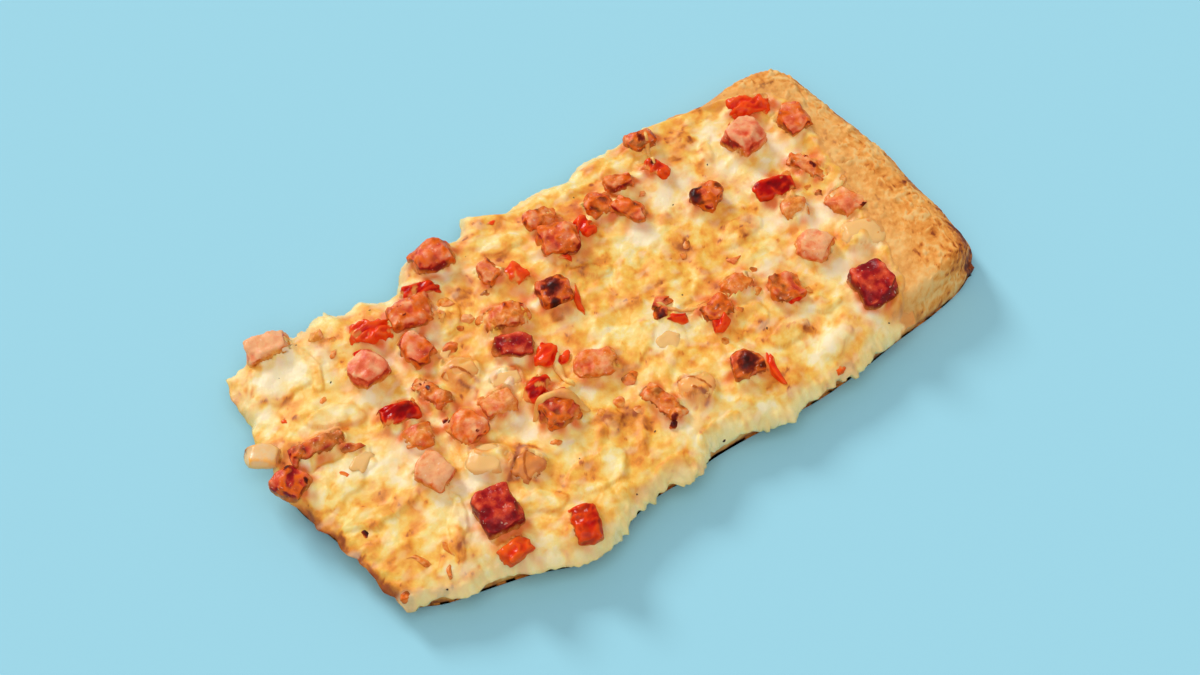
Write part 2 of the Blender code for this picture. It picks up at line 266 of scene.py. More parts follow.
def along(points, shares, steps=8):
    """Points of the smooth curve through the given ones, at these shares of its length."""
    padded = np.vstack([points[:1], points, points[-1:]])
    t = (np.arange(steps) / steps)[:, None]
    fine = []
    for a, b, c, d in zip(padded, padded[1:], padded[2:], padded[3:]):
        bend = (2 * a - 5 * b + 4 * c - d) * t**2 + (3 * b - a - 3 * c + d) * t**3
        fine.append((2 * b + (c - a) * t + bend) / 2)
    fine = np.vstack([*fine, points[-1:]])
    run = np.concatenate([[0], np.cumsum(np.linalg.norm(np.diff(fine, axis=0), axis=1))])
    return np.stack([np.interp(np.array(shares) * run[-1], run, fine[:, k]) for k in range(2)], axis=1)


def spread(sides, across, up):
    """The plan place of each point of a grid stretched between four sides, as (across, up, 2)."""
    near, end, far, start = sides
    n, f, e, s = along(near, across), along(far, across), along(end, up), along(start, up)
    u = np.array(across)[:, None, None]
    v = np.array(up)[None, :, None]
    corners = (1 - u) * (1 - v) * n[0] + u * (1 - v) * n[-1] + (1 - u) * v * f[0] + u * v * f[-1]
    return (1 - v) * n[:, None] + v * f[:, None] + (1 - u) * s[None] + u * e[None] - corners


def grown(place, distance):
    """A grid's outermost points moved out by this much, and those inside less and less."""
    moved = place.copy()
    columns, rows = place.shape[:2]
    depth = 6
    for k in range(depth):
        step = distance * (1 - k / depth)
        moved[:, k, 1] -= step
        moved[:, rows - 1 - k, 1] += step
        moved[k, :, 0] -= step
        moved[columns - 1 - k, :, 0] += step
    return moved


def unit_slab(name, cells, levels):
    """A closed slab: a fine sheet on top, a ring of faces for each level below it, and the same sheet
    underneath, left selected in edit mode. Its corners are at 0 and 1, and levels are one unit apart."""
    bpy.ops.object.select_all(action="DESELECT")
    bpy.ops.mesh.primitive_grid_add(x_subdivisions=cells[0], y_subdivisions=cells[1], size=1)
    made = bpy.context.object
    made.name = name
    bpy.ops.object.mode_set(mode="EDIT")
    bpy.ops.mesh.select_all(action="SELECT")
    bpy.ops.transform.translate(value=(0.5, 0.5, 0))
    for _ in range(levels):
        bpy.ops.mesh.extrude_region_move(TRANSFORM_OT_translate={"value": (0, 0, -1)})
    return made


def slab_places(mesh, cells):
    """Which column, row and level of its slab each point of a mesh is in."""
    return np.rint(per_point(mesh, "co") * (*cells, -1)).astype(int).T


def from_sides(place, across, up):
    """How far each place of a grid lies from its near, end, far and start sides."""
    width = np.linalg.norm(place[:, -1] - place[:, 0], axis=1)[:, None]
    length = np.linalg.norm(place[-1] - place[0], axis=1)[None, :]
    return up * width, (1 - across)[:, None] * length, (1 - up) * width, across[:, None] * length


def heading_to(middle, points):
    """The level direction from each point to a place, one unit long."""
    way = np.array(middle) - points[:, :2]
    return way / np.linalg.norm(way, axis=1)[:, None]


def per(size):
    """The noise scale that gives lumps of this size in millimetres."""
    return 1 / (size * MM)


def food_material(name, painted, size, detail, roughness, depth):
    """What every food material starts from: the material, its tree and main shader, the object's
    coordinates, a grain of this size, the same grain as an unevenness of this depth round 0, and the
    numbers painted on the mesh, in their order."""
    made, tree, shader = new_material(name)
    where = add_node(tree, "ShaderNodeTexCoord", output="Object")
    lumps = {"Vector": where, "Scale": per(size), "Detail": detail, "Roughness": roughness}
    grain = add_node(tree, "ShaderNodeTexNoise", lumps)
    uneven = add_node(tree, "ShaderNodeMath", {0: grain, 1: depth, 2: -depth / 2}, operation="MULTIPLY_ADD")
    shares = [add_node(tree, "ShaderNodeAttribute", output="Fac", attribute_name=it) for it in painted]
    return made, tree, shader, where, grain, uneven, shares


def let_light_in(shader, weight, reach, depth):
    """Lets this share of the light into a food. It reaches this deep in millimetres, times the reach
    given for red, green and blue."""
    feed(shader, {"Subsurface Weight": weight, "Subsurface Radius": reach, "Subsurface Scale": depth * MM})


def dressed(piece, finish, slot_name, *solids):
    """Gives a piece its finish and its place in the frame, instead of the solids that it replaces."""
    piece.data.materials.clear()
    piece.data.materials.append(finish)
    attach(piece, "root")
    if solids:
        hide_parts(*solids)


bread = unit_slab("bread_baked", BREAD_CELLS, 4)
bpy.ops.mesh.normals_make_consistent(inside=False)
bpy.ops.object.mode_set(mode="OBJECT")
column, row, level = slab_places(bread.data, BREAD_CELLS)
across = np.interp(np.linspace(0, 1, BREAD_CELLS[0] + 1), *BREAD_COLUMNS)
up = np.interp(np.linspace(0, 1, BREAD_CELLS[1] + 1), *BREAD_ROWS)
place = grown(spread(four_sides(foot_outline("bread"), BREAD_CORNERS), across, up), BREAD_INSET)
near, end, far, _ = from_sides(place, across, up)
cheese_sides = four_sides(foot_outline("cheese"), CHEESE_CORNERS)
crust_line = cheese_sides[1]
beyond = place[..., 0] - np.interp(place[..., 1], crust_line[:, 1], crust_line[:, 0])
crest = RIM_CREST * np.exp(-(((end - CREST_FROM_END) / CREST_REACH) ** 2))
round_over = rounded(end, END_ROUNDING) * rounded(near, NEAR_ROUNDING) * rounded(far, FAR_ROUNDING)
baked = BREAD_WIDEST + (RIM_TOP + crest - BREAD_WIDEST) * round_over
hidden = ramp(beyond, -6.0, -7.5)
height = baked * (1 - hidden) + np.minimum(baked, BREAD_FLOOR - 0.1) * hidden
points = np.column_stack([place[column, row], height[column, row]])
inward = heading_to(BREAD_MIDDLE, points)
edge = (column == 0) | (column == BREAD_CELLS[0]) | (row == 0) | (row == BREAD_CELLS[1])
for step, (z, inset) in BREAD_SIDE.items():
    on = level == step
    points[on, 2] = z
    points[on & edge, :2] += inward[on & edge] * inset
end, far, beyond = end[column, row], far[column, row], beyond[column, row]

# Lumps, then the flakes, cracks, wrinkles and crumbs of its skin
on_top = (level == 0) & (beyond > -6)
lumps = 0.4 * waves(points, 8.0, 3.0) + 0.22 * waves(points, 3.2, 8.0) + 0.12 * waves(points, 1.3, 4.0)
pulled = np.column_stack([waves(points, 3.0, 5.0), waves(points, 3.0, 6.0), 0 * lumps])
flaw = waves(points + 1.4 * pulled, 5.0, 21.0)
flaky = ramp(waves(points, 11.0, 31.0), -0.3, 0.1) * ramp(end, 26, 17)
flake = flaky * (ramp(flaw, -0.01, 0.06) - ramp(flaw, 0.15, 0.4))
crack = flaky * ramp(np.abs(flaw), 0.07, 0.01)
wrinkle = ramp(np.abs(waves(points + 2.0 * pulled, 4.2, 37.0)), 0.07, 0.0) * ramp(end, 22, 14)
crumbs = ramp(waves(points, 1.9, 44.0), 0.3, 0.55) * ramp(waves(points, 9.0, 46.0), -0.2, 0.15)
fine = 0.16 * waves(points, 0.8, 91.0) + 0.12 * ramp(np.abs(waves(points, 1.7, 93.0)), 0.1, 0.0)
raised = lumps + 0.3 * flake - 0.15 * crack + 0.3 * wrinkle + 0.6 * crumbs + fine
points[:, 2] += np.where(on_top, raised * ramp(points[:, 2], 5.0, 8.0), 0)
points[:, :2] -= inward * np.where((level > 0) & (level < 4) & edge, lumps * 0.8, 0)[:, None]
points[:, 2] += np.where((level == 4) & ~edge, 0.25 * ramp(waves(points, 4.0, 61.0), 0.1, 0.6), 0)
set_points(bread.data, points)

# How browned it is, and how much cheese has smeared onto it
from_corner = (points[:, :2] - BROWNEST_CORNER) / BROWNEST_REACH
browned = 0.3 + 0.32 * np.exp(-(from_corner**2).sum(1)) + 0.4 * ramp(points[:, 2], 4.0, 0.5)
browned += ramp(end, 6.0, 0.5) * (0.28 + 0.5 * waves(points, 4.0, 71.0))
browned += ramp(far, 4.0, 0.5) * 0.35 * ramp(waves(points, 4.0, 75.0), -0.2, 0.4)
browned += 0.32 * ramp(waves(points, 1.6, 81.0), 0.32, 0.55) + 0.3 * waves(points, 7.0, 83.0)
browned += 0.3 * crack - 0.2 * flake - 0.3 * crumbs - 0.42 * wrinkle + 0.22 * waves(points, 1.2, 85.0)
browned = np.where(level == 4, 0.6 + 0.3 * waves(points, 9.0, 95.0), browned)
cheesy = 0.45 * ramp(beyond + 5.0 * waves(points, 5.0, 97.0), 7.0, -2.0) * on_top
paint(bread.data, browned=browned, cheesy=cheesy)
bread.data.shade_smooth()

# Baked wheat dough: a dry matt skin that goes from pale tan to brown as it bakes
crust_finish, tree, shader, where, _, uneven, (baked_share, cheesy_share) = food_material(
    "baked_wheat_crust", ("browned", "cheesy"), size=3.4, detail=8, roughness=0.68, depth=1.3
)
colour = add_node(
    tree,
    "ShaderNodeValToRGB",
    {"Fac": add_node(tree, "ShaderNodeMath", {0: baked_share, 1: uneven})},
    ((0.0, "FAC67A"), (0.25, "F8AC52"), (0.5, "E68C32"), (0.75, "B05416"), (1.0, "6A280C")),
)
smeared = {0: cheesy_share, 6: colour, 7: linear("EFB466")}
colour = add_node(tree, "ShaderNodeMix", smeared, output=2, data_type="RGBA")
floury = {"Vector": where, "Scale": per(1.1), "Detail": 6, "Roughness": 0.75}
grain = add_node(tree, "ShaderNodeTexNoise", floury)
relief = add_node(tree, "ShaderNodeBump", {"Height": grain, "Strength": 0.8, "Distance": 0.5 * MM})
feed(shader, {"Base Color": colour, "Normal": relief, "Roughness": 0.55, "Specular IOR Level": 0.2})
let_light_in(shader, 0.1, (1.0, 0.5, 0.25), 1.2)
dressed(bread, crust_finish, "baked_bread", "bread")

# Melted cheese: a sheet of grated cheese that has run together under the grill. Shreds, folds and
# bubbles still stand out on it, golden on top and creamy between. It creeps up the toppings, thins
# out over the crust and hangs ragged over the three cut sides.
CHEESE_BASE = 7.1
CHEESE_TOP = 11.5
CHEESE_INSET = 0.5
CHEESE_MIDDLE = (0.0, 2.0)
CHEESE_CELLS = (430, 216)
EDGE_RISE = 0.8
THIN_FROM = -66
THIN_REACH = 24
THINNED = 1.3
CRUST_OVERLAP = 5.4
CLEARNESS = 0.62
SHREDS = 120
BLISTERS = 26

# From a place here to the same place in the solids' own drawing, so that both swell alike
TO_DRAWING = (-0.47, -1.56, 0)

# Patches that are golden to brown: x, y, reach along, reach across, turn in degrees, strength
TOASTED = (
    (-88, 39, 6, 4, 70, 0.75), (-64, 40, 5, 6, 0, 0.55), (-70, 34, 2, 9, -10, 0.45),
    (-82, 27, 5, 3, 20, 0.3), (-80, 14, 13, 2, -6, 0.7), (-90, 15, 3, 3, 0, 0.6),
    (-68, 13, 4, 2, 20, 0.5), (-93, -5, 3, 8, 10, 0.6), (-78, -8, 5, 4, 0, 0.5),
    (-74, -14, 12, 3, 0, 0.5), (-83, -25, 9, 3.5, 5, 0.55), (-88, -29, 3, 6, 0, 0.6),
    (-68, -33, 3.5, 9, -20, 0.5), (-86, -35, 3, 3, 0, 1.0), (-58, -38, 6, 3, 0, 0.4),
    (-27, 28, 9, 7, 0, 0.5), (-29, 24, 4, 3, 0, 0.7), (-37, 15, 6, 5, 0, 0.5),
    (-12, 34, 9, 5, 0, 0.5), (-15, 46, 5, 5, 0, 0.4), (-20, 13, 4, 6, 0, 0.5),
    (-8, 9, 7, 4, 0, 0.55), (5, 8, 8, 3, 0, 0.55), (-43, -22, 5, 6, 0, 0.5),
    (-28, -34, 8, 4, 0, 0.35), (-38, -32, 7, 4, 0, 0.35), (-15, -27, 7, 8, 0, 0.65),
    (-15, -37, 6, 5, 0, 0.4), (-12, -43, 6, 3, 0, 0.35), (-44, -38, 6, 3, 0, 0.3),
    (30.4, 8.7, 3.4, 3.8, 0, 1.3), (34, 20, 4, 10, 0, 0.35), (26, 41, 5, 3, 0, 0.35),
    (49, 34, 4, 8, 0, 0.45), (44, 6, 11, 5, 10, 0.5), (28, 0, 5, 4, 0, 0.4),
    (12, 2, 7, 3, 0, 0.5), (29, -7, 8, 4, 0, 0.55), (36, -27, 6, 3, 0, 0.5),
    (45, -32, 9, 3, -10, 0.65), (52, -5, 4, 8, 0, 0.45), (29, -39, 6, 3, 10, 0.7),
    (40, -47, 7, 3, 0, 0.6), (50, -24, 3, 6, 0, 0.4), (49, -38, 4, 5, 0, 0.45),
    (52, 40, 6, 7, 0, 0.5), (54, 22, 3, 7, 0, 0.4), (66, -41, 5, 3, 10, 0.8),
    (20, -20, 12, 3, 5, 0.3), (5, 20, 6, 3, -10, 0.55), (15, 37, 8, 3, 10, 0.4),
    (-50, 42, 8, 2, 0, 0.25), (75, 30, 2, 8, 0, 0.3), (60, 45, 8, 3, 0, 0.5),
    (0, 42, 12, 3, 0, 0.3), (77, -20, 2, 5, 30, 0.9), (-5, -14, 6, 3, -20, 0.6),
    (-84, -33, 6, 5, 0, 0.45), (-77, -41, 7, 3.5, 0, 0.8), (-92, 22, 3, 6, 0, 0.4),
    (64, -30, 8, 4, 0, 0.3),
    (84, 33, 4, 3, 0, 0.8), (78, 12, 3, 3, 0, 0.4), (70, 14, 6, 3, 0, 0.4),
    (-42.7, 4.6, 2.4, 2.4, 0, 0.8), (-42.6, 8.6, 2.6, 2.0, 0, 0.5), (3.8, -31.8, 2.4, 2.4, 0, 0.8),
    (5.0, -27.8, 2.6, 2.0, 0, 0.5),
)

# Patches that stayed pale and creamy, given the same way
CREAMY = (
    (-80, 36, 10, 5, 0, 0.9), (-88, 29, 4, 5, 0, 0.6), (-67, 34, 3, 6, 0, 0.7),
    (-72, 17, 7, 4, 20, 0.5), (-62, 14, 4, 3, 0, 0.7), (-52, 25, 3, 8, 0, 0.6),
    (-66, -3, 9, 6, 0, 0.8), (-58, -20, 9, 3, 0, 0.8), (-41, 22, 4, 5, 0, 0.6),
    (-33, 3, 6, 4, 0, 0.6), (-36, -14, 4, 6, 0, 0.8), (-63, -30, 3, 9, 0, 0.8),
    (-72, -40, 7, 4, 0, 0.7), (25, 19, 4, 4, 0, 1.1), (36, 28, 5, 7, 0, 0.8),
    (44, 30, 4, 7, 0, 0.8), (47, -9, 6, 3, 0, 0.7), (44, -37, 8, 4, 0, 0.8),
    (42, -26, 6, 3, 0, 0.6), (56, 25, 4, 6, 0, 0.8), (72, 22, 3, 7, 0, 1.0),
    (58, 16, 6, 3, 0, 0.7), (55, 3, 5, 5, 0, 0.8), (67, -3, 5, 5, 0, 0.9),
    (62, -20, 9, 3, 0, 0.8), (57, -36, 3, 7, 0, 0.9), (58, -43, 8, 3, 0, 0.5),
    (60, 37, 7, 4, 0, 0.4), (9, -12, 4, 3, 0, 0.9), (-8, 7, 4, 3, 0, 0.4),
    (0, -37, 6, 4, 0, 0.5), (14, -46, 12, 3, 0, 0.5), (-78, 2, 5, 4, 0, 0.7),
    (-55, -44, 5, 4, 0, 0.5), (86, 25, 3, 6, 0, 0.8), (-28, 38, 9, 4, 0, 0.5),
)

# Smooth thick folds that stand above the sheet, given the same way with their height last
FOLDS = (
    (-79, 36, 9, 7, -5, 0.7), (-73, 17, 8, 3.2, -25, 1.0), (-70.6, 33, 7, 2, 80, 0.7),
    (-84, 1, 9, 6, 10, 0.8), (-79, -13, 11, 2.6, -8, 0.9), (-66, -28, 9, 2.2, 60, 0.8),
    (-76, 3, 5, 4, 20, 0.5), (-21, -9, 8, 1.6, -30, 0.9), (-0.4, -8, 9, 5.5, 20, 0.7),
    (18, 9, 9, 6, -15, 0.5), (-28, -35, 8, 5, 0, 0.8), (-14, -45, 7, 3.5, 10, 0.6),
    (-16, -24, 5, 2, 50, 0.7), (46, 5, 8, 3, 10, 0.6), (19, -6, 4, 1.8, 40, 0.8),
    (48, -26, 6, 2, -25, 0.8), (45, -38, 6, 3, 15, 0.6), (36, -29, 6, 2, 0, 0.7),
    (5, -42, 7, 3, 5, 0.7), (-34, 26, 6, 3, 30, 0.7), (-8, 38, 6, 2.2, -10, 0.8),
    (33, 42, 6, 2.5, 0, 0.6), (56, 33, 5, 2, 60, 0.6), (6, 17, 6, 1.8, -20, 0.7),
    (-2, 24, 5, 3, 0, 0.6), (30, -20, 7, 3, 10, 0.5), (-45, -34, 6, 3, -20, 0.7),
)

# Toppings that the cheese has partly run over, with how far it climbs them in millimetres
COVERED = {
    "bacon_03": 1.0, "bacon_04": 1.4, "bacon_08": 0.6, "bacon_09": 1.6, "bacon_16": 0.8, "bacon_22": 1.4,
    "bacon_28": 1.2, "bacon_29": 0.8, "bacon_30": 1.0, "bacon_31": 1.2, "bacon_35": 1.0, "bacon_38": 1.2,
    "onion_01": 3.4, "onion_02": 2.2, "onion_03": 3.0, "onion_04": 3.6, "onion_05": 1.4, "onion_07": 2.2,
}

# Rims of onion petals that have browned and show through the cheese, as corners of a line
RIM_LINES = (
    ((-45.1, 10.8), (-43.9, 11.2), (-42.1, 11.2), (-40.7, 10.0), (-39.6, 8.0), (-38.7, 6.1), (-38.3, 4.5)),
    ((-42.2, 6.3), (-41.3, 5.0), (-40.2, 3.8), (-39.9, 2.4), (-41.6, 0.6)),
    ((2.6, -25.3), (5.5, -25.2), (7.1, -27.4), (8.4, -29.8), (8.7, -31.9)),
    ((5.1, -29.6), (6.0, -30.9), (6.5, -32.4), (7.3, -33.2), (5.5, -34.7)),
    (
        (-37.0, -21.6), (-37.9, -19.3), (-39.4, -18.1), (-41.1, -17.9), (-43.0, -20.2), (-45.5, -22.1),
        (-47.9, -23.9), (-46.3, -25.4),
    ),
    ((-39.6, -19.7), (-42.2, -22.2), (-44.0, -25.2), (-44.6, -27.4), (-43.1, -28.7)),
)

# How strongly each kind colours the cheese round it, with its juice and with painted shade, and the pale
# dice that do so less
STAIN_AND_SHADE = {"bacon": 1.0, "pepper": 0.9, "onion": 0.25}
PALE_STAIN_AND_SHADE = 0.35
PALE_DICE = ("bacon_01", "bacon_02", "bacon_05", "bacon_06", "bacon_24", "bacon_26", "bacon_33")


def blurred(grid, times):
    """A grid of numbers, each averaged with its neighbours this many times."""
    for _ in range(times):
        for axis in (0, 1):
            padded = np.concatenate([grid.take([0], axis), grid, grid.take([-1], axis)], axis)
            low, high = (padded.take(range(k, k + grid.shape[axis]), axis) for k in (0, 2))
            grid = 0.25 * low + 0.5 * grid + 0.25 * high
    return grid


def turned(x, y, angle):
    """How far level places lie along a direction and across it."""
    c, s = math.cos(angle), math.sin(angle)
    return x * c + y * s, y * c - x * s


def patches(x, y, rows, sharp=False):
    """How strongly each place lies in one of these patches. Sharp ones are flat up to their rim."""
    share = np.zeros_like(x)
    for px, py, reach_along, reach_across, turn, strength in rows:
        a, b = turned(x - px, y - py, math.radians(turn))
        off = (a / reach_along) ** 2 + (b / reach_across) ** 2
        share = np.maximum(share, strength * (ramp(off, 1.25, 0.75) if sharp else np.exp(-off)))
    return share


def rim_line(points):
    """How close each point is to one of the browned rims, 1 on it and 0 at 0.9 mm from it."""
    least = np.full(points.shape[:-1], 9.0)
    for line in RIM_LINES:
        for corner, following in zip(np.array(line), np.array(line[1:])):
            way = following - corner
            share = np.clip(((points[..., :2] - corner) @ way) / (way @ way), 0, 1)[..., None]
            least = np.minimum(least, np.linalg.norm(points[..., :2] - corner - share * way, axis=-1))
    return np.clip(1 - (least + 0.3 * waves(points, 2.0, 41.0)) / 0.9, 0, 1)


def ray_tree(mesh):
    """A mesh's faces, sorted for finding what lies below a place."""
    bm = bmesh.new()
    bm.from_mesh(mesh)
    faces = BVHTree.FromBMesh(bm)
    bm.free()
    return faces


def top_of(faces, x, y):
    """The height of the highest face over a place, or -1 where there is none."""
    hit = faces.ray_cast(Vector((x * MM, y * MM, 0.1)), Vector((0, 0, -1)))[0]
    return hit.z / MM if hit else -1.0


def topping_tops(x, y):
    """Over each place: the height of the toppings, how far the cheese climbs, and how strongly it is
    stained and painted with shade.
    """
    tops = np.full(x.shape, -1.0)
    climb = np.zeros(x.shape)
    stain_and_shade_weight = np.zeros(x.shape)
    for name, solid in frame["nodes"].items():
        if name in ("bread", "cheese"):
            continue
        low, high = (np.array(corner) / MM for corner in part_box(name))
        faces = ray_tree(solid.data)
        for at in zip(*np.nonzero((x > low[0]) & (x < high[0]) & (y > low[1]) & (y < high[1]))):
            found = top_of(faces, x[at], y[at])
            if found > 0:
                tops[at] = found
                climb[at] = COVERED.get(name, 0.0)
                stain_and_shade_weight[at] = PALE_STAIN_AND_SHADE if name in PALE_DICE else STAIN_AND_SHADE[name.split("_")[0]]
    return tops, climb, stain_and_shade_weight


cheese = unit_slab("cheese_melted", CHEESE_CELLS, 2)
bpy.ops.mesh.dissolve_faces()
bpy.ops.mesh.select_all(action="SELECT")
bpy.ops.mesh.normals_make_consistent(inside=False)
bpy.ops.object.mode_set(mode="OBJECT")
column, row, level = slab_places(cheese.data, CHEESE_CELLS)
across, up = (np.linspace(0, 1, cells + 1) for cells in CHEESE_CELLS)
cheese_plan = spread(cheese_sides, across, up)
place = grown(cheese_plan, CHEESE_INSET)
x, y = place[..., 0], place[..., 1]
near, end, far, start = from_sides(place, across, up)
sideways = np.minimum(near, far)
rim = np.minimum(sideways, start)
flat = np.stack([x, y, 0 * x], axis=-1)


def field(size, seed, stretch=1):
    """Smooth noise over the cheese's grid."""
    return waves(flat, size, seed, stretch)


def eased(distance, reach):
    """How far up a thin sheet's edge is, from 0 at the edge to 1 where it reaches full thickness."""
    return 1 - np.clip(1 - distance / reach, 0, 1) ** 2


drawn = flat + TO_DRAWING
broad = 0.75 * waves(drawn, 15, 5.0) + 0.5 * waves(drawn, 6, 9.0)
sheet = CHEESE_TOP + broad - THINNED * np.clip((THIN_FROM - drawn[..., 0]) / THIN_REACH, 0, 1)
creamy = patches(x, y, CREAMY) * (0.35 + 0.65 * ramp(near, 2, 9))
pale = np.clip(creamy, 0, 1)
combed = ramp(near, 9.0, 1.0) * field(1.5, 66.0, 0.3)
toast = patches(x, y, TOASTED)

# Shreds that have kept their shape, then blisters
rng = random.Random(12)
shreds = np.zeros_like(x)
for _ in range(SHREDS):
    cx, cy = rng.uniform(-96, 88), rng.uniform(-52, 50)
    angle = rng.uniform(0, math.pi)
    bend = rng.uniform(-0.08, 0.08)
    half = rng.uniform(2.0, 6.5)
    thick = rng.uniform(0.8, 1.9)
    tall = rng.uniform(0.25, 0.7)
    close = (np.abs(x - cx) < half + 3) & (np.abs(y - cy) < half + 3)
    a, b = turned(x[close] - cx, y[close] - cy, angle)
    off = np.hypot(np.maximum(np.abs(a) - half, 0), b - bend * a * a) / thick
    ridge = tall * np.clip(1 - off**2, 0, None) ** 0.6
    shreds[close] = np.maximum(shreds[close], ridge + 0.35 * shreds[close] * (ridge > 0))
shreds = blurred(shreds, 2) * (1 - 0.6 * pale)
blisters = np.zeros_like(x)
for _ in range(BLISTERS):
    cx, cy, reach = rng.uniform(-90, 80), rng.uniform(-44, 46), rng.uniform(0.8, 2.4)
    off = np.hypot(x - cx, y - cy) / reach
    blisters = np.maximum(blisters, 0.3 * reach * np.clip(1 - off**2, 0, None) ** 0.7)

# Folds, torn layers, mounds and fine crinkles
pull_x, pull_y = 2.2 * field(5.0, 15.0), 2.2 * field(5.0, 16.0)
folds = patches(x + pull_x, y + pull_y, FOLDS, sharp=True)
swirl = waves(flat + np.stack([pull_x, pull_y, 0 * x], axis=-1), 7.0, 18.0)
layer = waves(flat + np.stack([pull_y, pull_x, 0 * x], axis=-1), 4.5, 20.0)
torn = ramp(field(11.0, 21.0), -0.1, 0.25)
steps = 0.28 * torn * ramp(swirl, 0.0, 0.25) + 0.15 * torn * ramp(layer, 0.1, 0.35)
mounds = 0.6 * field(8.0, 11.0) + 0.16 * field(4.0, 12.0)
crinkle = (0.05 + 0.1 * torn) * field(2.2, 13.0) + (0.02 + 0.07 * torn) * field(1.1, 17.0)
crinkle += 0.3 * combed
pores = ramp(field(1.5, 24.0), 0.45, 0.6) * ramp(field(9.0, 26.0), 0.0, 0.3)
surface = shreds + 0.9 * folds + 0.5 * blisters + (steps + crinkle) * (1 - 0.5 * pale) - 0.2 * pores
curtain = ramp(rim, 6.0, 1.0) * (0.5 * field(2.6, 63.0) + 0.35 * field(1.3, 65.0))
edge_height = CHEESE_BASE + EDGE_RISE
share = eased(near, 9) * eased(far, 8) * eased(start, 9)
z = edge_height + (sheet + mounds + surface - 0.6 - edge_height) * share + curtain

# It climbs up the sides of the toppings
tops, climb, stain_and_shade_weight = topping_tops(x, y)
under = tops > 0
collar = blurred(under.astype(float), 20)
rise = (3.9 + 1.3 * blurred(climb, 14)) * (0.85 + 0.6 * field(2.6, 23.0))
bed = z + rise * np.minimum(collar, 0.5)
sunk = blurred((climb > 2).astype(float), 5)
limit = tops - 0.9 + np.where(climb > 2, 0.6 + 0.9 * ramp(field(3.0, 27.0), 0.0, 0.25), 0)
z = np.where(under, np.minimum(z + rise * collar, limit), z + rise * collar)
z = z + (blurred(z, 3) - z) * sunk
bed_places = kdtree.KDTree(x.size)
for k, found in enumerate(zip(x.ravel(), y.ravel())):
    bed_places.insert((*found, 0), k)
bed_places.balance()


def bedded(points, reach, seed):
    """How smeared with cheese each point of a topping is, by its height over the sheet round it."""
    around = np.array([bed.flat[bed_places.find((px, py, 0))[1]] for px, py, _ in points])
    over = points[:, 2] - around + 0.7 * waves(points, 2.4, seed)
    return ramp(over, reach, 0)


# The sheet thins out where it meets the crust
x = x + ramp(end, 10, 0) * (0.4 + 1.6 * field(8.0, 37.0))
crust_faces = ray_tree(bread.data)
crust_from = np.interp(y, crust_line[:, 1], crust_line[:, 0]) - CRUST_OVERLAP
crust_top = np.zeros_like(x)
for at in zip(*np.nonzero(end < 10)):
    crust_top[at] = max(top_of(crust_faces, max(x[at], crust_from[at]), y[at]), CHEESE_BASE + 1)
thick = 1.5 * ramp(end, 0, 5.5) - 0.9 + 0.5 * field(3.6, 38.0) + 0.25 * field(1.5, 40.0)
film = crust_top + np.where(end < 0.5, -0.8, thick + 0.4 * surface * ramp(end, 2.0, 6.0))
on_crust = ramp(end, 8.5, 5.0)
z = z * (1 - on_crust) + np.where(under, z, film) * on_crust

# It hangs ragged over the cut sides
ragged = ramp(rim, 3.0, 0) * ramp(end, 1.0, 5.0)
tattered = ramp(field(14.0, 44.0), -0.15, 0.2)
spikes = 1.8 * (0.25 - np.abs(field(3.4, 43.0))) + 1.0 * field(2.0, 45.0) + 0.8 * field(1.1, 46.0)
teeth = 1.5 * field(6.5, 41.0) + (0.35 + 0.65 * tattered) * spikes
y = y + ragged * teeth * np.where(near < far, -1.0, 1.0) * ramp(start - sideways, -2, 2)
soft_teeth = 1.4 * field(6.5, 42.0) + 0.6 * field(2.6, 48.0)
x = x - ragged * soft_teeth * ramp(sideways - start, -2, 2)
droop = ramp(field(9.0, 47.0), 0.0, 0.4) * 1.8 + 0.8
z = z - ragged**2 * droop * ramp(rim, 2.5, 0)

points = np.column_stack([x[column, row], y[column, row], z[column, row]])
inside_plan = cheese_plan[column, row]
inward = heading_to(CHEESE_MIDDLE, inside_plan)
lip = level == 1
points[lip, :2] += inward[lip] * 0.7
points[lip, 2] -= np.where(end[column, row][lip] < 0.1, 1.5, 0.9)
under_side = level == 2
points[under_side, :2] = (inside_plan + inward * 3.0)[under_side]
points[under_side, 2] = CHEESE_BASE
set_points(cheese.data, points)

# How golden, creamy, stained, bready and glassy each place is. The stain also paints shade round the foot
# of the toppings, and the cream also holds painted wet sheen.
crest = np.clip(surface - blurred(surface, 30), -0.6, 0.9)
ring = np.clip(2.4 * collar * (1 - collar), 0, 1)
step_edges = ramp(np.abs(swirl - 0.03), 0.06, 0.0) + ramp(np.abs(layer - 0.16), 0.05, 0.0)
crease = ramp(np.abs(swirl), 0.06, 0.0) * ramp(field(10.0, 58.0), -0.1, 0.3)
blotches = ramp(field(4.0, 57.0) + 0.4 * field(1.6, 59.0), 0.05, 0.6)
golden = 0.36 + 0.5 * toast + 0.2 * crest + 0.36 * field(7.0, 53.0) + 0.22 * field(2.6, 54.0)
golden += (0.08 + 0.42 * toast) * blotches + 0.14 * crease + 0.07 * step_edges * torn
fold_share = np.clip(folds / 0.7, 0, 1)
golden += 0.7 * fold_share * (1 - fold_share) * (0.7 + field(5.0, 51.0)) - 0.1 * fold_share
golden += 0.3 * ramp(field(1.5, 49.0), 0.36, 0.55) * ramp(golden, 0.4, 0.65)
streaks = ramp(field(5.0, 56.0, 1.6) + 0.3 * field(1.8, 55.0), 0.12, 0.4)
golden += 0.5 * rim_line(flat) + 0.16 * combed
golden += 0.5 * ramp(start + 0.8 * field(2.4, 67.0), 1.6, 0.3) * ramp(y, 8, 0)
golden -= 0.05 * ring + 0.4 * pale * (0.8 + 0.5 * field(4.0, 62.0)) + 0.16 * streaks
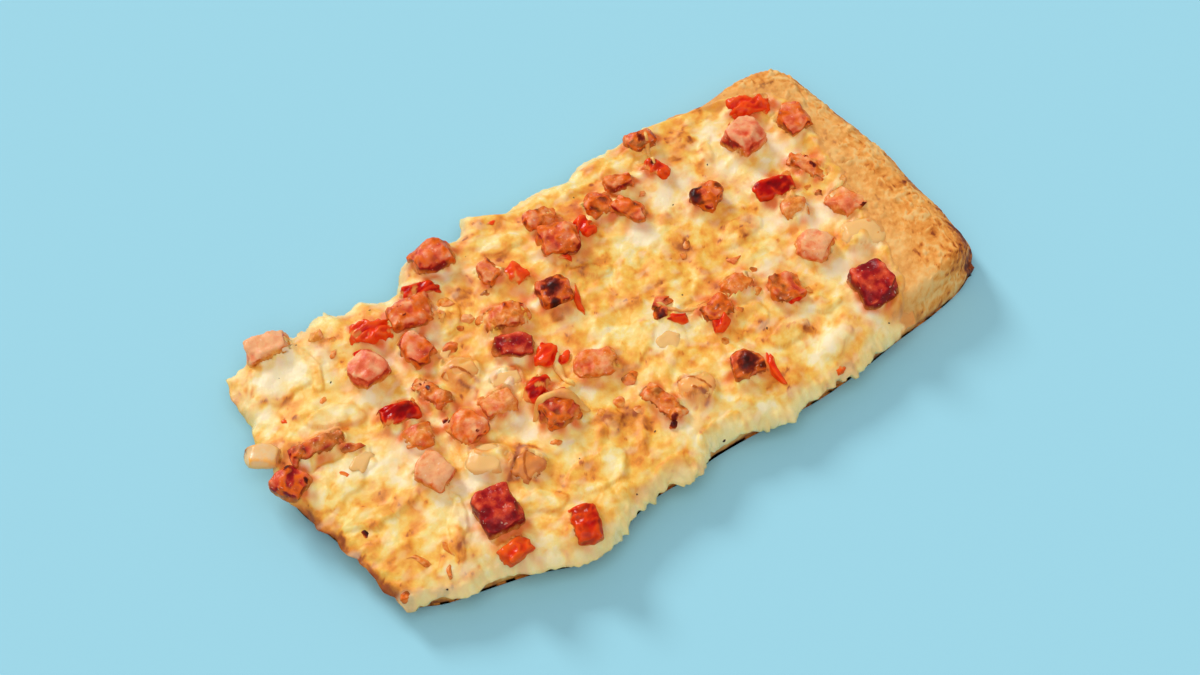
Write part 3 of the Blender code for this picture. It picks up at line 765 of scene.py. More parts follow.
# Painted sheen: small whitish patches away from the toasted places are added to the cream share, standing
# in for highlights on the wet cheese
painted_wet_sheen = ramp(field(4.0, 71.0, 1.6) + 0.3 * field(1.6, 72.0), 0.05, 0.5) * (1 - np.clip(toast, 0, 1))
cream = 0.9 * creamy * (0.8 + 0.6 * field(5.0, 61.0)) + 0.1 * ring - 0.3 * blotches + 0.36 * painted_wet_sheen
# Juice stain and painted shade: the cheese is tinted darker orange round the toppings, for their juice and
# for the shade at their foot
stained = np.clip(blurred(stain_and_shade_weight, 70) * 2.8, 0, 1) * (0.55 + 1.6 * field(3.0, 64.0))
bready = ramp(end, 9.0, 6.0) * ramp(thick + 0.3 * field(1.6, 68.0), 0.6, 0.05)
glassy = ramp(sideways + 2.0 * field(4.0, 69.0), 5.0, 0.5)
paint(
    cheese.data,
    golden=golden[column, row],
    cream=cream[column, row],
    stained=stained[column, row],
    bready=bready[column, row],
    glassy=glassy[column, row],
)
cheese.data.shade_smooth()

# Melted cheese and cream: translucent and fatty, with a wet sheen, partly painted in as pale patches. Heat
# turns it yellow, then golden brown, and the juice of bacon and pepper tints it near them, a darker orange
# that also paints the shade at the foot of the toppings. Thin cut edges look more glassy.
names = ("golden", "cream", "stained", "glassy", "bready")
cheese_finish, tree, shader, where, _, uneven, shares = food_material(
    "grilled_melted_cheese", names, size=2.4, detail=6, roughness=0.65, depth=0.6
)
golden_share, cream_share, stained_share, glassy_share, bready_share = shares
gold = add_node(tree, "ShaderNodeMath", {0: golden_share, 1: uneven})
colour = add_node(
    tree,
    "ShaderNodeValToRGB",
    {"Fac": gold},
    ((0.0, "FFEABA"), (0.2, "FFDE84"), (0.42, "FDC04C"), (0.68, "F09426"), (1.0, "A44A0C")),
)
cleared = add_node(tree, "ShaderNodeMath", {0: glassy_share, 1: CLEARNESS}, operation="MULTIPLY")
for share, tint in (
    (cream_share, "FFE8C0"), (stained_share, "E9742A"), (cleared, "FCE8A8"), (bready_share, "E9A254"),
):
    layers = {0: share, 6: colour, 7: linear(tint)}
    colour = add_node(tree, "ShaderNodeMix", layers, output=2, data_type="RGBA")
curds = {"Vector": where, "Scale": per(1.0), "Detail": 5, "Roughness": 0.7}
grain = add_node(tree, "ShaderNodeTexNoise", curds)
relief = add_node(tree, "ShaderNodeBump", {"Height": grain, "Strength": 0.6, "Distance": 0.4 * MM})
drying = {"Value": gold, "From Min": 0.2, "From Max": 0.9, "To Min": 0.26, "To Max": 0.55}
dryness = add_node(tree, "ShaderNodeMapRange", drying)
feed(shader, {"Base Color": colour, "Normal": relief, "Roughness": dryness, "Specular IOR Level": 0.4})
let_light_in(shader, 0.22, (1.0, 0.6, 0.25), 1.3)
dressed(cheese, cheese_finish, "melted_cheese", "cheese")

# Bacon: cured pork cut into dice before baking. The flesh is pink to dark red with specks of fat, the
# upper edges have roasted brown, and some corners are burnt. The dice are bedded in the cheese.
DIE_FACE = 0.42
SWELL = 1.12
THIN_SCRAPS = (7, 34)
SMOOTHING_ROUNDS = 7
AVERAGING_ROUNDS = 8

# How red the flesh is, how roasted, how much melted cheese coats it, and how lumpy it is
BACON_LOOKS = {
    1: (0.42, 0.15, 0.0, 0.15), 2: (0.58, 0.5, 0.1, 0.3), 3: (0.45, 0.6, 0.3, 0.9),
    4: (0.62, 0.3, 0.2, 0.4), 5: (0.46, 0.35, 0.2, 0.4), 6: (0.25, 0.2, 0.2, 0.1),
    7: (0.95, 0.0, 0.0, 0.4), 8: (0.7, 0.6, 0.3, 0.8),
    9: (0.7, 0.6, 0.25, 0.9), 10: (0.7, 0.7, 0.15, 0.9), 11: (0.7, 0.8, 0.1, 0.4), 12: (0.6, 0.7, 0.3, 0.5),
    13: (0.5, 0.5, 0.3, 0.8), 14: (0.65, 0.7, 0.1, 0.7), 15: (0.6, 0.5, 0.1, 0.6),
    16: (0.5, 0.7, 0.4, 0.8), 17: (0.65, 0.5, 0.15, 0.7), 18: (0.7, 0.4, 0.05, 0.4),
    19: (0.5, 0.8, 0.3, 0.8), 20: (0.7, 0.8, 0.1, 0.4), 21: (0.52, 0.5, 0.1, 0.4),
    22: (0.5, 0.7, 0.5, 0.7), 23: (0.92, 0.1, 0.0, 0.3), 24: (0.12, 0.05, 0.1, 0.3),
    25: (0.56, 0.45, 0.05, 0.3), 26: (0.44, 0.08, 0.0, 0.1), 27: (0.5, 0.35, 0.2, 0.5),
    28: (0.4, 0.35, 0.45, 0.5), 29: (0.82, 0.55, 0.2, 0.8), 30: (0.45, 0.7, 0.35, 0.9),
    31: (0.64, 0.4, 0.2, 0.4), 32: (0.46, 0.4, 0.2, 0.5), 33: (0.2, 0.25, 0.2, 0.1),
    34: (0.95, 0.0, 0.0, 0.4), 35: (1.0, 0.2, 0.0, 1.0), 36: (0.9, 0.5, 0.0, 0.4),
    37: (0.7, 0.8, 0.1, 0.4), 38: (0.45, 0.7, 0.4, 0.9),
}

# Burnt places on any topping: x, y, height, reach
BURNT = (
    (-43.7, 30.8, 16, 1.0), (-43.0, 33.9, 16, 0.7), (-44.5, 23.8, 16, 0.9), (-44.4, 18.9, 16, 0.8),
    (-43.3, 16.2, 15, 1.3), (-50.9, 11.5, 14, 0.8), (-50.7, 9.4, 14, 0.8), (-84.6, -15.7, 11, 1.9),
    (-51.6, -0.7, 13, 1.6), (-45.9, -10.3, 15, 1.0), (-47.8, -9.4, 15, 0.6), (43.6, 21.4, 16, 2.6),
    (42.0, 19.0, 15, 3.0), (74.6, 13.7, 14, 1.1), (74.6, 9.9, 14, 1.2), (72.4, 2.2, 13, 1.5),
    (83.2, 29.5, 15, 1.1), (82.2, 20.5, 15, 1.3), (77.6, -8.0, 14, 1.5), (68.1, -27.3, 17, 0.8),
    (-7.6, 16.2, 16, 3.8), (-8.6, 12.5, 13, 2.0), (20.4, -32.0, 16, 4.0), (-4.6, -34.6, 13, 2.0),
    (-5.2, -23.2, 14, 0.9), (-31.1, -14.1, 14, 0.8), (42.0, 44.6, 14, 2.2), (-91.3, 10.0, 13, 1.5),
    (-89.6, 4.4, 12, 1.1), (39.8, 35.6, 14, 1.5), (-97.2, 21.6, 11, 1.8), (11.9, -6.1, 13, 1.9),
    (-40.5, 4.1, 14, 1.0), (-63.8, 21.7, 16, 0.35), (-60.9, 19.7, 16, 0.4), (63.5, 28.0, 16, 0.35),
    (68.0, 25.2, 16, 0.4), (-87.8, 13.3, 13, 1.2), (-77.4, 10.5, 13, 1.0), (-37.4, 19.3, 14, 1.3),
)


def trimmed(points, cuts, seed, least=0.78):
    """Points pressed flat against a few planes round them, as a knife leaves a piece."""
    rng = random.Random(seed)
    middle = (points.min(0) + points.max(0)) / 2
    offset = points - middle
    for _ in range(cuts):
        turn, lean = rng.uniform(0, 2 * math.pi), rng.uniform(-0.1, 1.2)
        axis = np.array((math.cos(turn) * math.cos(lean), math.sin(turn) * math.cos(lean), math.sin(lean)))
        height = offset @ axis
        over = np.clip(height - height.max() * rng.uniform(least, 0.95), 0, None)
        offset -= over[:, None] * axis
    return middle + offset


def carved(name, new_name, cuts, seed):
    """A copy of a solid in fine even faces, softened a little and trimmed flat here and there, and
    where its points are."""
    made = bpy.data.objects.new(new_name, frame["nodes"][name].data.copy())
    bpy.context.scene.collection.objects.link(made)
    bpy.ops.object.select_all(action="DESELECT")
    made.select_set(True)
    bpy.context.view_layer.objects.active = made
    bpy.ops.object.mode_set(mode="EDIT")
    bpy.ops.mesh.select_all(action="SELECT")
    bpy.ops.mesh.remove_doubles(threshold=WELD * MM)
    bpy.ops.object.mode_set(mode="OBJECT")
    even = made.modifiers.new("even", "REMESH")
    even.mode = "VOXEL"
    even.voxel_size = DIE_FACE * MM
    bpy.ops.object.modifier_apply(modifier="even")
    soft = made.modifiers.new("soft", "SMOOTH")
    soft.factor = 0.5
    soft.iterations = SMOOTHING_ROUNDS
    bpy.ops.object.modifier_apply(modifier="soft")
    points = trimmed(per_point(made.data, "co") / MM, cuts, seed)
    middle = (points.min(0) + points.max(0)) / 2
    set_points(made.data, middle + (points - middle) * (SWELL, SWELL, 1))
    made.data.shade_smooth()
    return made, per_point(made.data, "co") / MM


def raise_points(made, points, height):
    """Moves each point of a piece outward by its height, in the given places too."""
    points += per_point(made.data, "normal") * height[:, None]
    set_points(made.data, points)


def standing_out(mesh, points):
    """How far each point stands out from the mean of those round it, in millimetres."""
    ends = np.empty(len(mesh.edges) * 2, np.int32)
    mesh.edges.foreach_get("vertices", ends)
    a, b = ends.reshape(-1, 2).T
    count = np.bincount(ends, minlength=len(points))[:, None]
    mean = points
    for _ in range(AVERAGING_ROUNDS):
        total = np.zeros_like(points)
        np.add.at(total, a, mean[b])
        np.add.at(total, b, mean[a])
        mean = total / count
    return ((points - mean) * per_point(mesh, "normal")).sum(1)


def burns(points, stand):
    """How burnt each point of a topping is. Small burnt places keep to where it stands out."""
    burnt = np.zeros(len(points))
    ragged_off = 0.9 * waves(points, 2.2, 35.0)
    for px, py, pz, reach in BURNT:
        off = np.linalg.norm((points - (px, py, pz)) * (1, 1, 0.6), axis=1) + ragged_off
        tips = 1 if reach > 1.8 else ramp(stand, 0.0, 0.16)
        burnt = np.maximum(burnt, ramp(off, reach * 1.25, -0.15) * tips)
    return burnt * (1.25 + 0.6 * waves(points, 1.7, 33.0))


# Roasted cured meat: moist pink to dark red flesh with pale specks of fat, brown where it roasted and
# nearly black where it burnt, under a thin coat of cheese here and there
# The redness share also holds painted shade, deeper red on the side faces than on the tops
names = ("redness", "roasted", "coated", "bedded", "burnt")
bacon_finish, tree, shader, where, grain, uneven, shares = food_material(
    "roasted_cured_bacon", names, size=1.5, detail=6, roughness=0.68, depth=0.7
)
red_and_shade_share, roast_share, coat_share, bedded_share, burnt_share = shares
redness, roast, burnt = (
    add_node(tree, "ShaderNodeMath", {0: share, 1: uneven})
    for share in (red_and_shade_share, roast_share, burnt_share)
)
flesh, browning, coating, soot = (
    add_node(tree, "ShaderNodeValToRGB", {"Fac": amount}, stops)
    for amount, stops in (
        (redness, ((0.0, "F8B480"), (0.3, "F08056"), (0.55, "DC4C2A"), (0.8, "AA1A1A"), (1.0, "7E0C12"))),
        (roast, ((0.0, "F8942E"), (0.45, "EE660C"), (0.8, "B23802"), (1.0, "681A02"))),
        (grain, ((0.3, "F8C070"), (0.5, "EC983C"), (0.7, "D06C1C"))),
        (burnt, ((0.3, "A0300A"), (0.65, "6C1808"), (1.0, "38100A"))),
    )
)
fat_grain = {"Vector": where, "Scale": per(1.0), "Detail": 2, "Roughness": 0.5}
specks = add_node(tree, "ShaderNodeTexNoise", fat_grain)
cheesed = add_node(tree, "ShaderNodeMath", {0: coat_share, 1: bedded_share}, operation="MAXIMUM")
roast_mask, fat_mask, burnt_mask = (
    add_node(
        tree, "ShaderNodeMapRange", {"Value": amount, "From Min": low, "From Max": high, "To Max": most}
    )
    for amount, low, high, most in ((roast, 0.15, 0.5, 1), (specks, 0.66, 0.74, 0.5), (burnt, 0.2, 0.45, 1))
)
colour = flesh
for share, over in (
    (roast_mask, browning), (cheesed, coating), (fat_mask, linear("F9D2B4")), (burnt_mask, soot),
):
    colour = add_node(tree, "ShaderNodeMix", {0: share, 6: colour, 7: over}, output=2, data_type="RGBA")
relief = add_node(tree, "ShaderNodeBump", {"Height": grain, "Strength": 0.45, "Distance": 0.4 * MM})
feed(shader, {"Base Color": colour, "Normal": relief, "Roughness": 0.22, "Specular IOR Level": 0.13})
let_light_in(shader, 0.2, (1.0, 0.35, 0.2), 1.0)


def paint_meat(mesh, points, red, roast_level, coat, seed, edge=0.35):
    """Marks how red, roasted, coated with cheese and burnt, at the edges too, some bacon is. Its redness
    also holds painted shade: deeper red on the side faces, paler on the tops.
    """
    stand = standing_out(mesh, points)
    above = ramp(per_point(mesh, "normal")[:, 2], -0.1, 0.8)
    patchy = waves(points, 2.4, seed + 9)
    # Painted shade: redness is raised on the side faces and lowered on the tops, as light from above falls
    # on them
    sides = 0.3 + 0.3 * roast_level * (1 - above)
    smeared = 1 - 0.8 * max(roast_level, 1.4 * red - 0.8)
    crisp = edge * roast_level * ramp(stand, 0.16, 0.34) * ramp(waves(points, 2.6, seed + 21), 0.1, 0.35)
    paint(
        mesh,
        redness=red + sides + 0.45 * waves(points, 2.6, seed + 13) - 0.45 * above - 0.5 * stand,
        roasted=roast_level * (0.24 + 1.2 * np.clip(stand, -0.1, 0.3) + 1.5 * patchy + 0.2 * above),
        coated=coat * ramp(waves(points, 3.4, seed + 17) + 0.4 * above, 0.0, 0.5),
        bedded=smeared * bedded(points, 1.8, seed),
        burnt=np.maximum(burns(points, stand) - 0.3 * ramp(stand, 0.12, 0.0), crisp),
    )


for number, (red, roast_level, coat, rough) in BACON_LOOKS.items():
    name = f"bacon_{number:02d}"
    seed = number * 7.3
    die, points = carved(name, f"{name}_roasted", 3 if number in THIN_SCRAPS else 8, seed)
    fibres = (0.4 + 0.5 * rough) * waves(points, 3.6, seed)
    fibres += (0.12 + 0.45 * rough) * waves(points, 1.5, seed + 3) + 0.12 * waves(points, 0.8, seed + 5)
    raise_points(die, points, fibres)
    paint_meat(die.data, points, red, roast_level, coat, seed)
    dressed(die, bacon_finish, "cured_bacon", name)

# Red pepper: small pieces of sweet pepper with a tight glossy skin and softer, more orange flesh at
# their cut edges. They have wilted in the oven, and some are crumpled.

# How dark the skin is, how orange, and how crumpled
PEPPER_LOOKS = {
    1: (0.3, 0.4, 1.0), 2: (0.85, 0.0, 0.15), 3: (0.5, 0.5, 0.6), 4: (0.45, 0.5, 0.6), 5: (0.65, 0.0, 0.4),
    6: (0.25, 0.6, 0.3), 7: (0.3, 0.4, 1.0), 8: (0.3, 0.3, 0.3), 9: (0.7, 0.0, 0.3), 10: (0.85, 0.0, 0.15),
    11: (0.4, 0.9, 0.6), 12: (0.7, 0.45, 0.4),
}

# Wilted pepper skin: smooth, wet and glossy, bright to deep red, and more orange at the cut edges
names = ("darkness", "orange", "bedded", "burnt")
pepper_finish, tree, shader, _, grain, uneven, shares = food_material(
    "roasted_red_pepper_skin", names, size=1.8, detail=4, roughness=0.55, depth=0.6
)
dark_share, orange_share, bedded_share, burnt_share = shares
colour = add_node(
    tree,
    "ShaderNodeValToRGB",
    {"Fac": add_node(tree, "ShaderNodeMath", {0: dark_share, 1: uneven})},
    ((0.0, "F83A10"), (0.35, "E00C02"), (0.75, "A80002"), (1.0, "760002")),
)
for share, tint in ((orange_share, "EE5C14"), (bedded_share, "F0A24C"), (burnt_share, "3A120A")):
    layers = {0: share, 6: colour, 7: linear(tint)}
    colour = add_node(tree, "ShaderNodeMix", layers, output=2, data_type="RGBA")
relief = add_node(tree, "ShaderNodeBump", {"Height": grain, "Strength": 0.35, "Distance": 0.35 * MM})
feed(shader, {"Base Color": colour, "Normal": relief, "Roughness": 0.18, "Specular IOR Level": 0.13})
let_light_in(shader, 0.15, (1.0, 0.25, 0.15), 0.9)


def paint_pepper(mesh, points, dark, orange, seed):
    """Marks how dark, orange and burnt each point of some pepper is."""
    stand = standing_out(mesh, points)
    rims = ramp(stand, 0.06, 0.3)
    paint(
        mesh,
        darkness=dark + 0.25 * waves(points, 3.0, seed + 7) - 0.4 * rims,
        orange=orange * (0.5 + 0.9 * waves(points, 2.6, seed + 11)) + 0.35 * rims,
        bedded=0.7 * bedded(points, 0.3, seed),
        burnt=burns(points, stand),
    )


for number, (dark, orange, crumpled) in PEPPER_LOOKS.items():
    name = f"pepper_{number:02d}"
    seed = number * 5.1 + 200
    strip, points = carved(name, f"{name}_roasted", 5, seed)
    curl = (0.2 + 0.3 * crumpled) * waves(points, 3.2, seed) + 0.12 * waves(points, 1.4, seed + 3)
    curl += 2.6 * crumpled * (0.25 - np.abs(waves(points, 3.6, seed + 5, 1.7)))
    raise_points(strip, points, curl)
    paint_pepper(strip.data, points, dark, orange, seed)
    dressed(strip, pepper_finish, "red_pepper", name)

# Onion: petals of white onion, sliced and baked until soft, glassy and yellowish. The upper rims of
# some have caught the heat and turned into a thin brown line.

# How browned each petal is, and how lumpy
ONION_LOOKS = {
    1: (0.08, 0.1), 2: (0.5, 0.2), 3: (0.06, 0.1), 4: (0.1, 0.05), 5: (0.8, 0.6), 6: (0.02, 0.2),
    7: (0.5, 0.2),
}

# Softened onion: glassy flesh that lets much light in, cream to amber, with a thin brown upper rim
names = ("browned", "line", "bedded", "burnt")
onion_finish, tree, shader, _, grain, uneven, shares = food_material(
    "softened_onion_flesh", names, size=2.0, detail=5, roughness=0.6, depth=0.5
)
brown_share, rim_share, bedded_share, burnt_share = shares
colour = add_node(
    tree,
    "ShaderNodeValToRGB",
    {"Fac": add_node(tree, "ShaderNodeMath", {0: brown_share, 1: uneven})},
    ((0.0, "ECC692"), (0.3, "FCB252"), (0.6, "FA861A"), (1.0, "C2500A")),
)
wavering = add_node(tree, "ShaderNodeMath", {0: rim_share, 1: uneven})
rim_mask = add_node(tree, "ShaderNodeMapRange", {"Value": wavering, "From Min": 0.5, "From Max": 0.75})
for share, tint in ((bedded_share, "F2BC74"), (rim_mask, "BC5E16"), (burnt_share, "6A2C10")):
    layers = {0: share, 6: colour, 7: linear(tint)}
    colour = add_node(tree, "ShaderNodeMix", layers, output=2, data_type="RGBA")
relief = add_node(tree, "ShaderNodeBump", {"Height": grain, "Strength": 0.3, "Distance": 0.3 * MM})
feed(shader, {"Base Color": colour, "Normal": relief, "Roughness": 0.24, "Specular IOR Level": 0.2})
let_light_in(shader, 0.25, (1.0, 0.6, 0.25), 1.8)


def paint_onion(mesh, points, brown, seed):
    """Marks how browned, lined and burnt each point of some onion is."""
    stand = standing_out(mesh, points)
    paint(
        mesh,
        browned=brown * (1 + 0.9 * waves(points, 3.0, seed + 7)) + 0.3 * ramp(stand, 0.1, 0.3),
        line=rim_line(points),
        bedded=(1 - 0.85 * brown) * bedded(points, 2.6, seed),
        burnt=burns(points, stand),
    )


for number, (brown, lumpy) in ONION_LOOKS.items():
    name = f"onion_{number:02d}"
    seed = number * 6.7 + 400
    petal, points = carved(name, f"{name}_softened", 6, seed)
    curl = (0.2 + 0.6 * lumpy) * waves(points, 3.6, seed)
    curl += (0.05 + 0.3 * lumpy) * waves(points, 1.5, seed + 3)
    points += per_point(petal.data, "normal") * curl[:, None]
    points[:, 2] += 0.35 * rim_line(points) * (points[:, 2] > points[:, 2].mean())
    set_points(petal.data, points)
    paint_onion(petal.data, points, brown, seed)
    dressed(petal, onion_finish, "soft_onion", name)

# Small bits: crumbs of roasted bacon, threads and scraps of red pepper, and slivers of onion. They
# lie half sunk in the cheese, most of them beside the larger pieces.
LARGE_BIT = 4
BOXINESS = 0.75
BIT_CUTS = 9
CRUMB_EDGE = 0.3

# Each bit: x, y, length, width, height, turn in degrees, and its looks as for the larger pieces
BACON_BITS = (
    (-87.4, 12.8, 5.4, 4.4, 5.2, 10, 1.0, 0.3, 0.0), (-77.2, 11.4, 3.2, 2.2, 5.6, 60, 0.95, 0.4, 0.0),
    (-75.0, 7.0, 6.8, 2.2, 3.0, -25, 0.95, 0.2, 0.0), (-37.6, 18.2, 4.6, 4.4, 2.6, 15, 0.6, 0.8, 0.1),
    (-29.4, 23.1, 4.6, 3.0, 1.8, -30, 0.3, 0.7, 0.7), (-32.6, 22.0, 2.6, 2.2, 1.6, 0, 0.4, 0.8, 0.4),
    (12.0, -5.4, 4.6, 3.6, 4.4, 0, 0.6, 0.9, 0.0), (14.8, -2.1, 6.4, 4.2, 4.2, 10, 0.7, 0.5, 0.2),
    (-5.9, -17.0, 5.4, 3.8, 2.0, -20, 0.5, 0.8, 0.4), (-5.2, -23.2, 3.2, 2.4, 2.2, 20, 0.5, 0.8, 0.3),
    (-3.6, -26.1, 2.8, 2.2, 2.0, 50, 0.6, 0.8, 0.2), (-4.4, -34.4, 3.4, 2.2, 2.2, 30, 0.6, 0.8, 0.0),
    (-2.4, -31.8, 3.2, 2.6, 1.8, 30, 0.7, 0.5, 0.2), (-9.4, -25.6, 4.0, 2.4, 1.8, 20, 0.4, 0.7, 0.5),
    (-51.4, 11.9, 3.4, 2.2, 2.0, 30, 0.5, 0.8, 0.2), (-48.8, 9.4, 2.8, 2.2, 2.0, 0, 0.5, 0.8, 0.2),
    (-54.6, 9.8, 3.0, 2.0, 1.6, 40, 0.4, 0.5, 0.4), (-51.4, -0.4, 3.0, 2.6, 2.2, 0, 0.5, 0.8, 0.0),
    (71.7, 15.2, 3.4, 2.2, 2.0, 20, 0.5, 0.7, 0.3), (75.4, 14.4, 2.8, 2.0, 1.8, 0, 0.5, 0.8, 0.2),
    (76.4, 10.2, 3.0, 2.2, 1.8, 40, 0.5, 0.7, 0.2), (71.6, 2.6, 3.6, 2.2, 2.0, 50, 0.6, 0.8, 0.0),
    (70.2, 6.4, 4.0, 3.0, 1.8, 0, 0.4, 0.4, 0.4), (39.1, -1.8, 4.6, 2.4, 1.4, -20, 0.5, 0.8, 0.4),
    (41.0, -7.2, 3.2, 2.6, 1.8, 0, 0.6, 0.7, 0.3), (29.4, -16.0, 3.6, 2.6, 1.8, 30, 0.6, 0.7, 0.4),
    (-71.1, -30.8, 2.0, 6.6, 1.2, 10, 0.7, 0.5, 0.3), (-78.9, -29.4, 8.0, 2.0, 1.1, -58, 0.5, 0.5, 0.6),
    (-74.0, -36.4, 4.4, 1.2, 1.1, 60, 0.75, 0.4, 0.1), (-84.6, -15.7, 2.8, 2.6, 1.6, 10, 0.8, 1.0, 0.0),
    (-85.6, -35.2, 3.6, 2.6, 1.6, 20, 0.5, 0.9, 0.3), (-64.0, 33.6, 3.0, 2.0, 1.4, 40, 0.4, 0.5, 0.6),
    (22.8, 30.0, 3.2, 2.6, 2.2, 0, 0.6, 0.7, 0.1), (25.6, 36.6, 3.0, 2.4, 2.0, 30, 0.5, 0.6, 0.4),
    (31.8, 30.6, 3.4, 2.4, 1.8, -20, 0.5, 0.5, 0.3), (8.6, 35.4, 3.4, 2.6, 2.2, 0, 0.5, 0.8, 0.3),
    (-20.8, 27.4, 3.0, 2.4, 1.8, 20, 0.5, 0.8, 0.4), (-26.6, 20.4, 3.4, 2.6, 2.0, 0, 0.6, 0.7, 0.5),
    (-31.8, -21.8, 3.4, 2.6, 1.8, 10, 0.5, 0.5, 0.5), (-41.2, -1.4, 3.2, 2.6, 1.8, 0, 0.3, 0.4, 0.5),
    (-64.4, 40.6, 4.6, 3.6, 1.6, 10, 0.3, 0.5, 1.1), (-61.4, 37.4, 3.4, 2.6, 1.4, 60, 0.3, 0.5, 1.0),
    (-31.2, 30.6, 4.8, 3.8, 1.8, -20, 0.3, 0.6, 1.0), (-34.6, 27.0, 4.0, 3.0, 1.6, 40, 0.3, 0.6, 1.0),
    (31.6, 9.6, 3.8, 3.0, 1.4, 20, 0.4, 0.7, 0.6),
    (29.2, 7.4, 3.2, 2.4, 1.4, 60, 0.4, 0.8, 0.5), (22.0, -21.4, 3.8, 2.8, 1.4, 10, 0.4, 0.6, 0.8),
    (37.2, -14.0, 3.4, 2.8, 1.6, 40, 0.5, 0.6, 0.8), (48.2, -21.4, 3.4, 2.6, 1.4, 0, 0.5, 0.6, 0.8),
    (78.0, 1.6, 3.4, 2.6, 1.4, 30, 0.4, 0.4, 0.8), (68.4, 12.4, 4.0, 3.0, 1.6, 0, 0.4, 0.5, 0.8),
    (-17.8, -21.2, 3.8, 3.0, 1.6, 0, 0.4, 0.6, 0.9), (-11.4, -21.0, 4.4, 3.4, 1.6, 40, 0.4, 0.6, 0.9),
)
PEPPER_BITS = (
    (-2.3, 10.4, 11.0, 2.2, 2.6, 74, 0.15, 0.35), (26.6, -35.8, 11.0, 2.2, 2.6, 74, 0.15, 0.35),
    (15.8, -8.9, 7.6, 3.2, 4.2, -20, 0.6, 0.1), (23.6, -16.6, 7.0, 3.8, 4.6, 10, 0.4, 0.2),
    (9.0, 28.6, 3.2, 2.4, 1.8, 0, 0.6, 0.0), (2.2, 24.2, 6.0, 1.8, 1.8, -35, 0.2, 0.4),
    (-16.1, -2.2, 5.0, 4.0, 3.4, 20, 0.3, 0.1), (-73.2, 22.9, 3.6, 2.0, 1.1, 30, 0.1, 0.9),
    (-84.3, 24.1, 2.8, 1.5, 0.9, -40, 0.1, 1.0), (-80.3, 1.0, 3.6, 1.5, 0.9, -60, 0.1, 1.0),
    (40.8, -44.8, 3.6, 2.4, 1.2, 0, 0.2, 0.8), (-6.2, 46.0, 2.8, 1.8, 1.2, 0, 0.2, 0.8),
    (-57.4, 30.2, 4.4, 1.4, 1.2, -20, 0.4, 0.1), (-47.8, 31.2, 2.6, 1.6, 1.6, 40, 0.3, 0.3),
    (69.2, 37.6, 3.0, 1.4, 1.4, 60, 0.4, 0.4), (66.4, 36.2, 3.4, 0.9, 0.8, 40, 0.2, 0.8),
    (43.6, -22.0, 4.4, 1.6, 1.6, -10, 0.45, 0.2),
)
ONION_BITS = (
    (9.4, -13.2, 7.4, 5.4, 1.2, -30, 0.02), (-74.6, 2.2, 8.0, 4.6, 1.2, 20, 0.05),
    (86.0, 24.4, 6.0, 4.6, 1.0, 70, 0.1), (-40.6, 16.6, 4.4, 3.0, 1.2, 40, 0.02),
)
cheese_faces = ray_tree(cheese.data)


def ball(fineness):
    """A ball of radius 1, and where its points are."""
    bpy.ops.object.select_all(action="DESELECT")
    bpy.ops.mesh.primitive_ico_sphere_add(subdivisions=fineness, radius=1)
    made = bpy.context.object
    return made, per_point(made.data, "co")


def bit(place, size, turn, seed, fineness):
    """A small irregular piece: a fine ball made boxy, roughened, trimmed and laid into the cheese."""
    made, points = ball(fineness)
    points = np.sign(points) * np.abs(points) ** BOXINESS
    points *= 1 + 0.55 * waves(points, 0.8, seed)[:, None]
    points = points * (np.array(size) / 2)
    bow = 0.06 * size[0] * np.cos(points[:, 0] / size[0] * math.pi * 1.6)
    points[:, 1] += bow * (1 if seed % 2 < 1 else -1)
    points = trimmed(points, BIT_CUTS, seed, 0.6)
    points += 0.12 * waves(points, 1.0, seed + 3)[:, None] * per_point(made.data, "normal")
    points[:, 0], points[:, 1] = turned(points[:, 0], points[:, 1], -math.radians(turn))
    ground = top_of(cheese_faces, *place)
    points += (*place, ground - (0.1 if size[0] > LARGE_BIT else 0.3) * size[2])
    set_points(made.data, points)
    made.data.shade_smooth()
    return made, points


def gathered(pieces, name, finish, slot_name):
    """These pieces as one mesh, given its finish and its place in the frame."""
    bpy.ops.object.select_all(action="DESELECT")
    for piece in pieces:
        piece.select_set(True)
    bpy.context.view_layer.objects.active = pieces[0]
    bpy.ops.object.join()
    made = bpy.context.object
    made.name = name
    bpy.ops.object.transform_apply(location=True, rotation=True, scale=True)
    dressed(made, finish, slot_name)


def paint_crumb(mesh, points, red, roast_level, coat, seed):
    """Marks a crumb as the dice are marked, with edges that are a little less crisp."""
    paint_meat(mesh, points, red, roast_level, coat, seed, CRUMB_EDGE)


for name, rows, paint_bit, first_seed, seed_step, finish, slot_name in (
    ("bacon_crumbs", BACON_BITS, paint_crumb, 0, 3.7, bacon_finish, "cured_bacon"),
    ("pepper_scraps", PEPPER_BITS, paint_pepper, 100, 4.3, pepper_finish, "red_pepper"),
    ("onion_slivers", ONION_BITS, paint_onion, 300, 5.9, onion_finish, "soft_onion"),
):
    pieces = []
    for k, (px, py, long, wide, high, turn, *looks) in enumerate(rows):
        fineness = 4 if long > LARGE_BIT else 3
        shape_seed = k * seed_step + (first_seed + 0.5)
        made, points = bit((px, py), (long, wide, high), turn, shape_seed, fineness)
        paint_bit(made.data, points, *looks, k * seed_step + first_seed)
        pieces.append(made)
    gathered(pieces, name, finish, slot_name)

# Strands of cheese that were pulled over the toppings while it was soft, and set there. Each is a
# thin string that lies on what is below it, pale to golden like the sheet.
STRAND_STEPS = 41
STRAND_SMOOTHING = 8

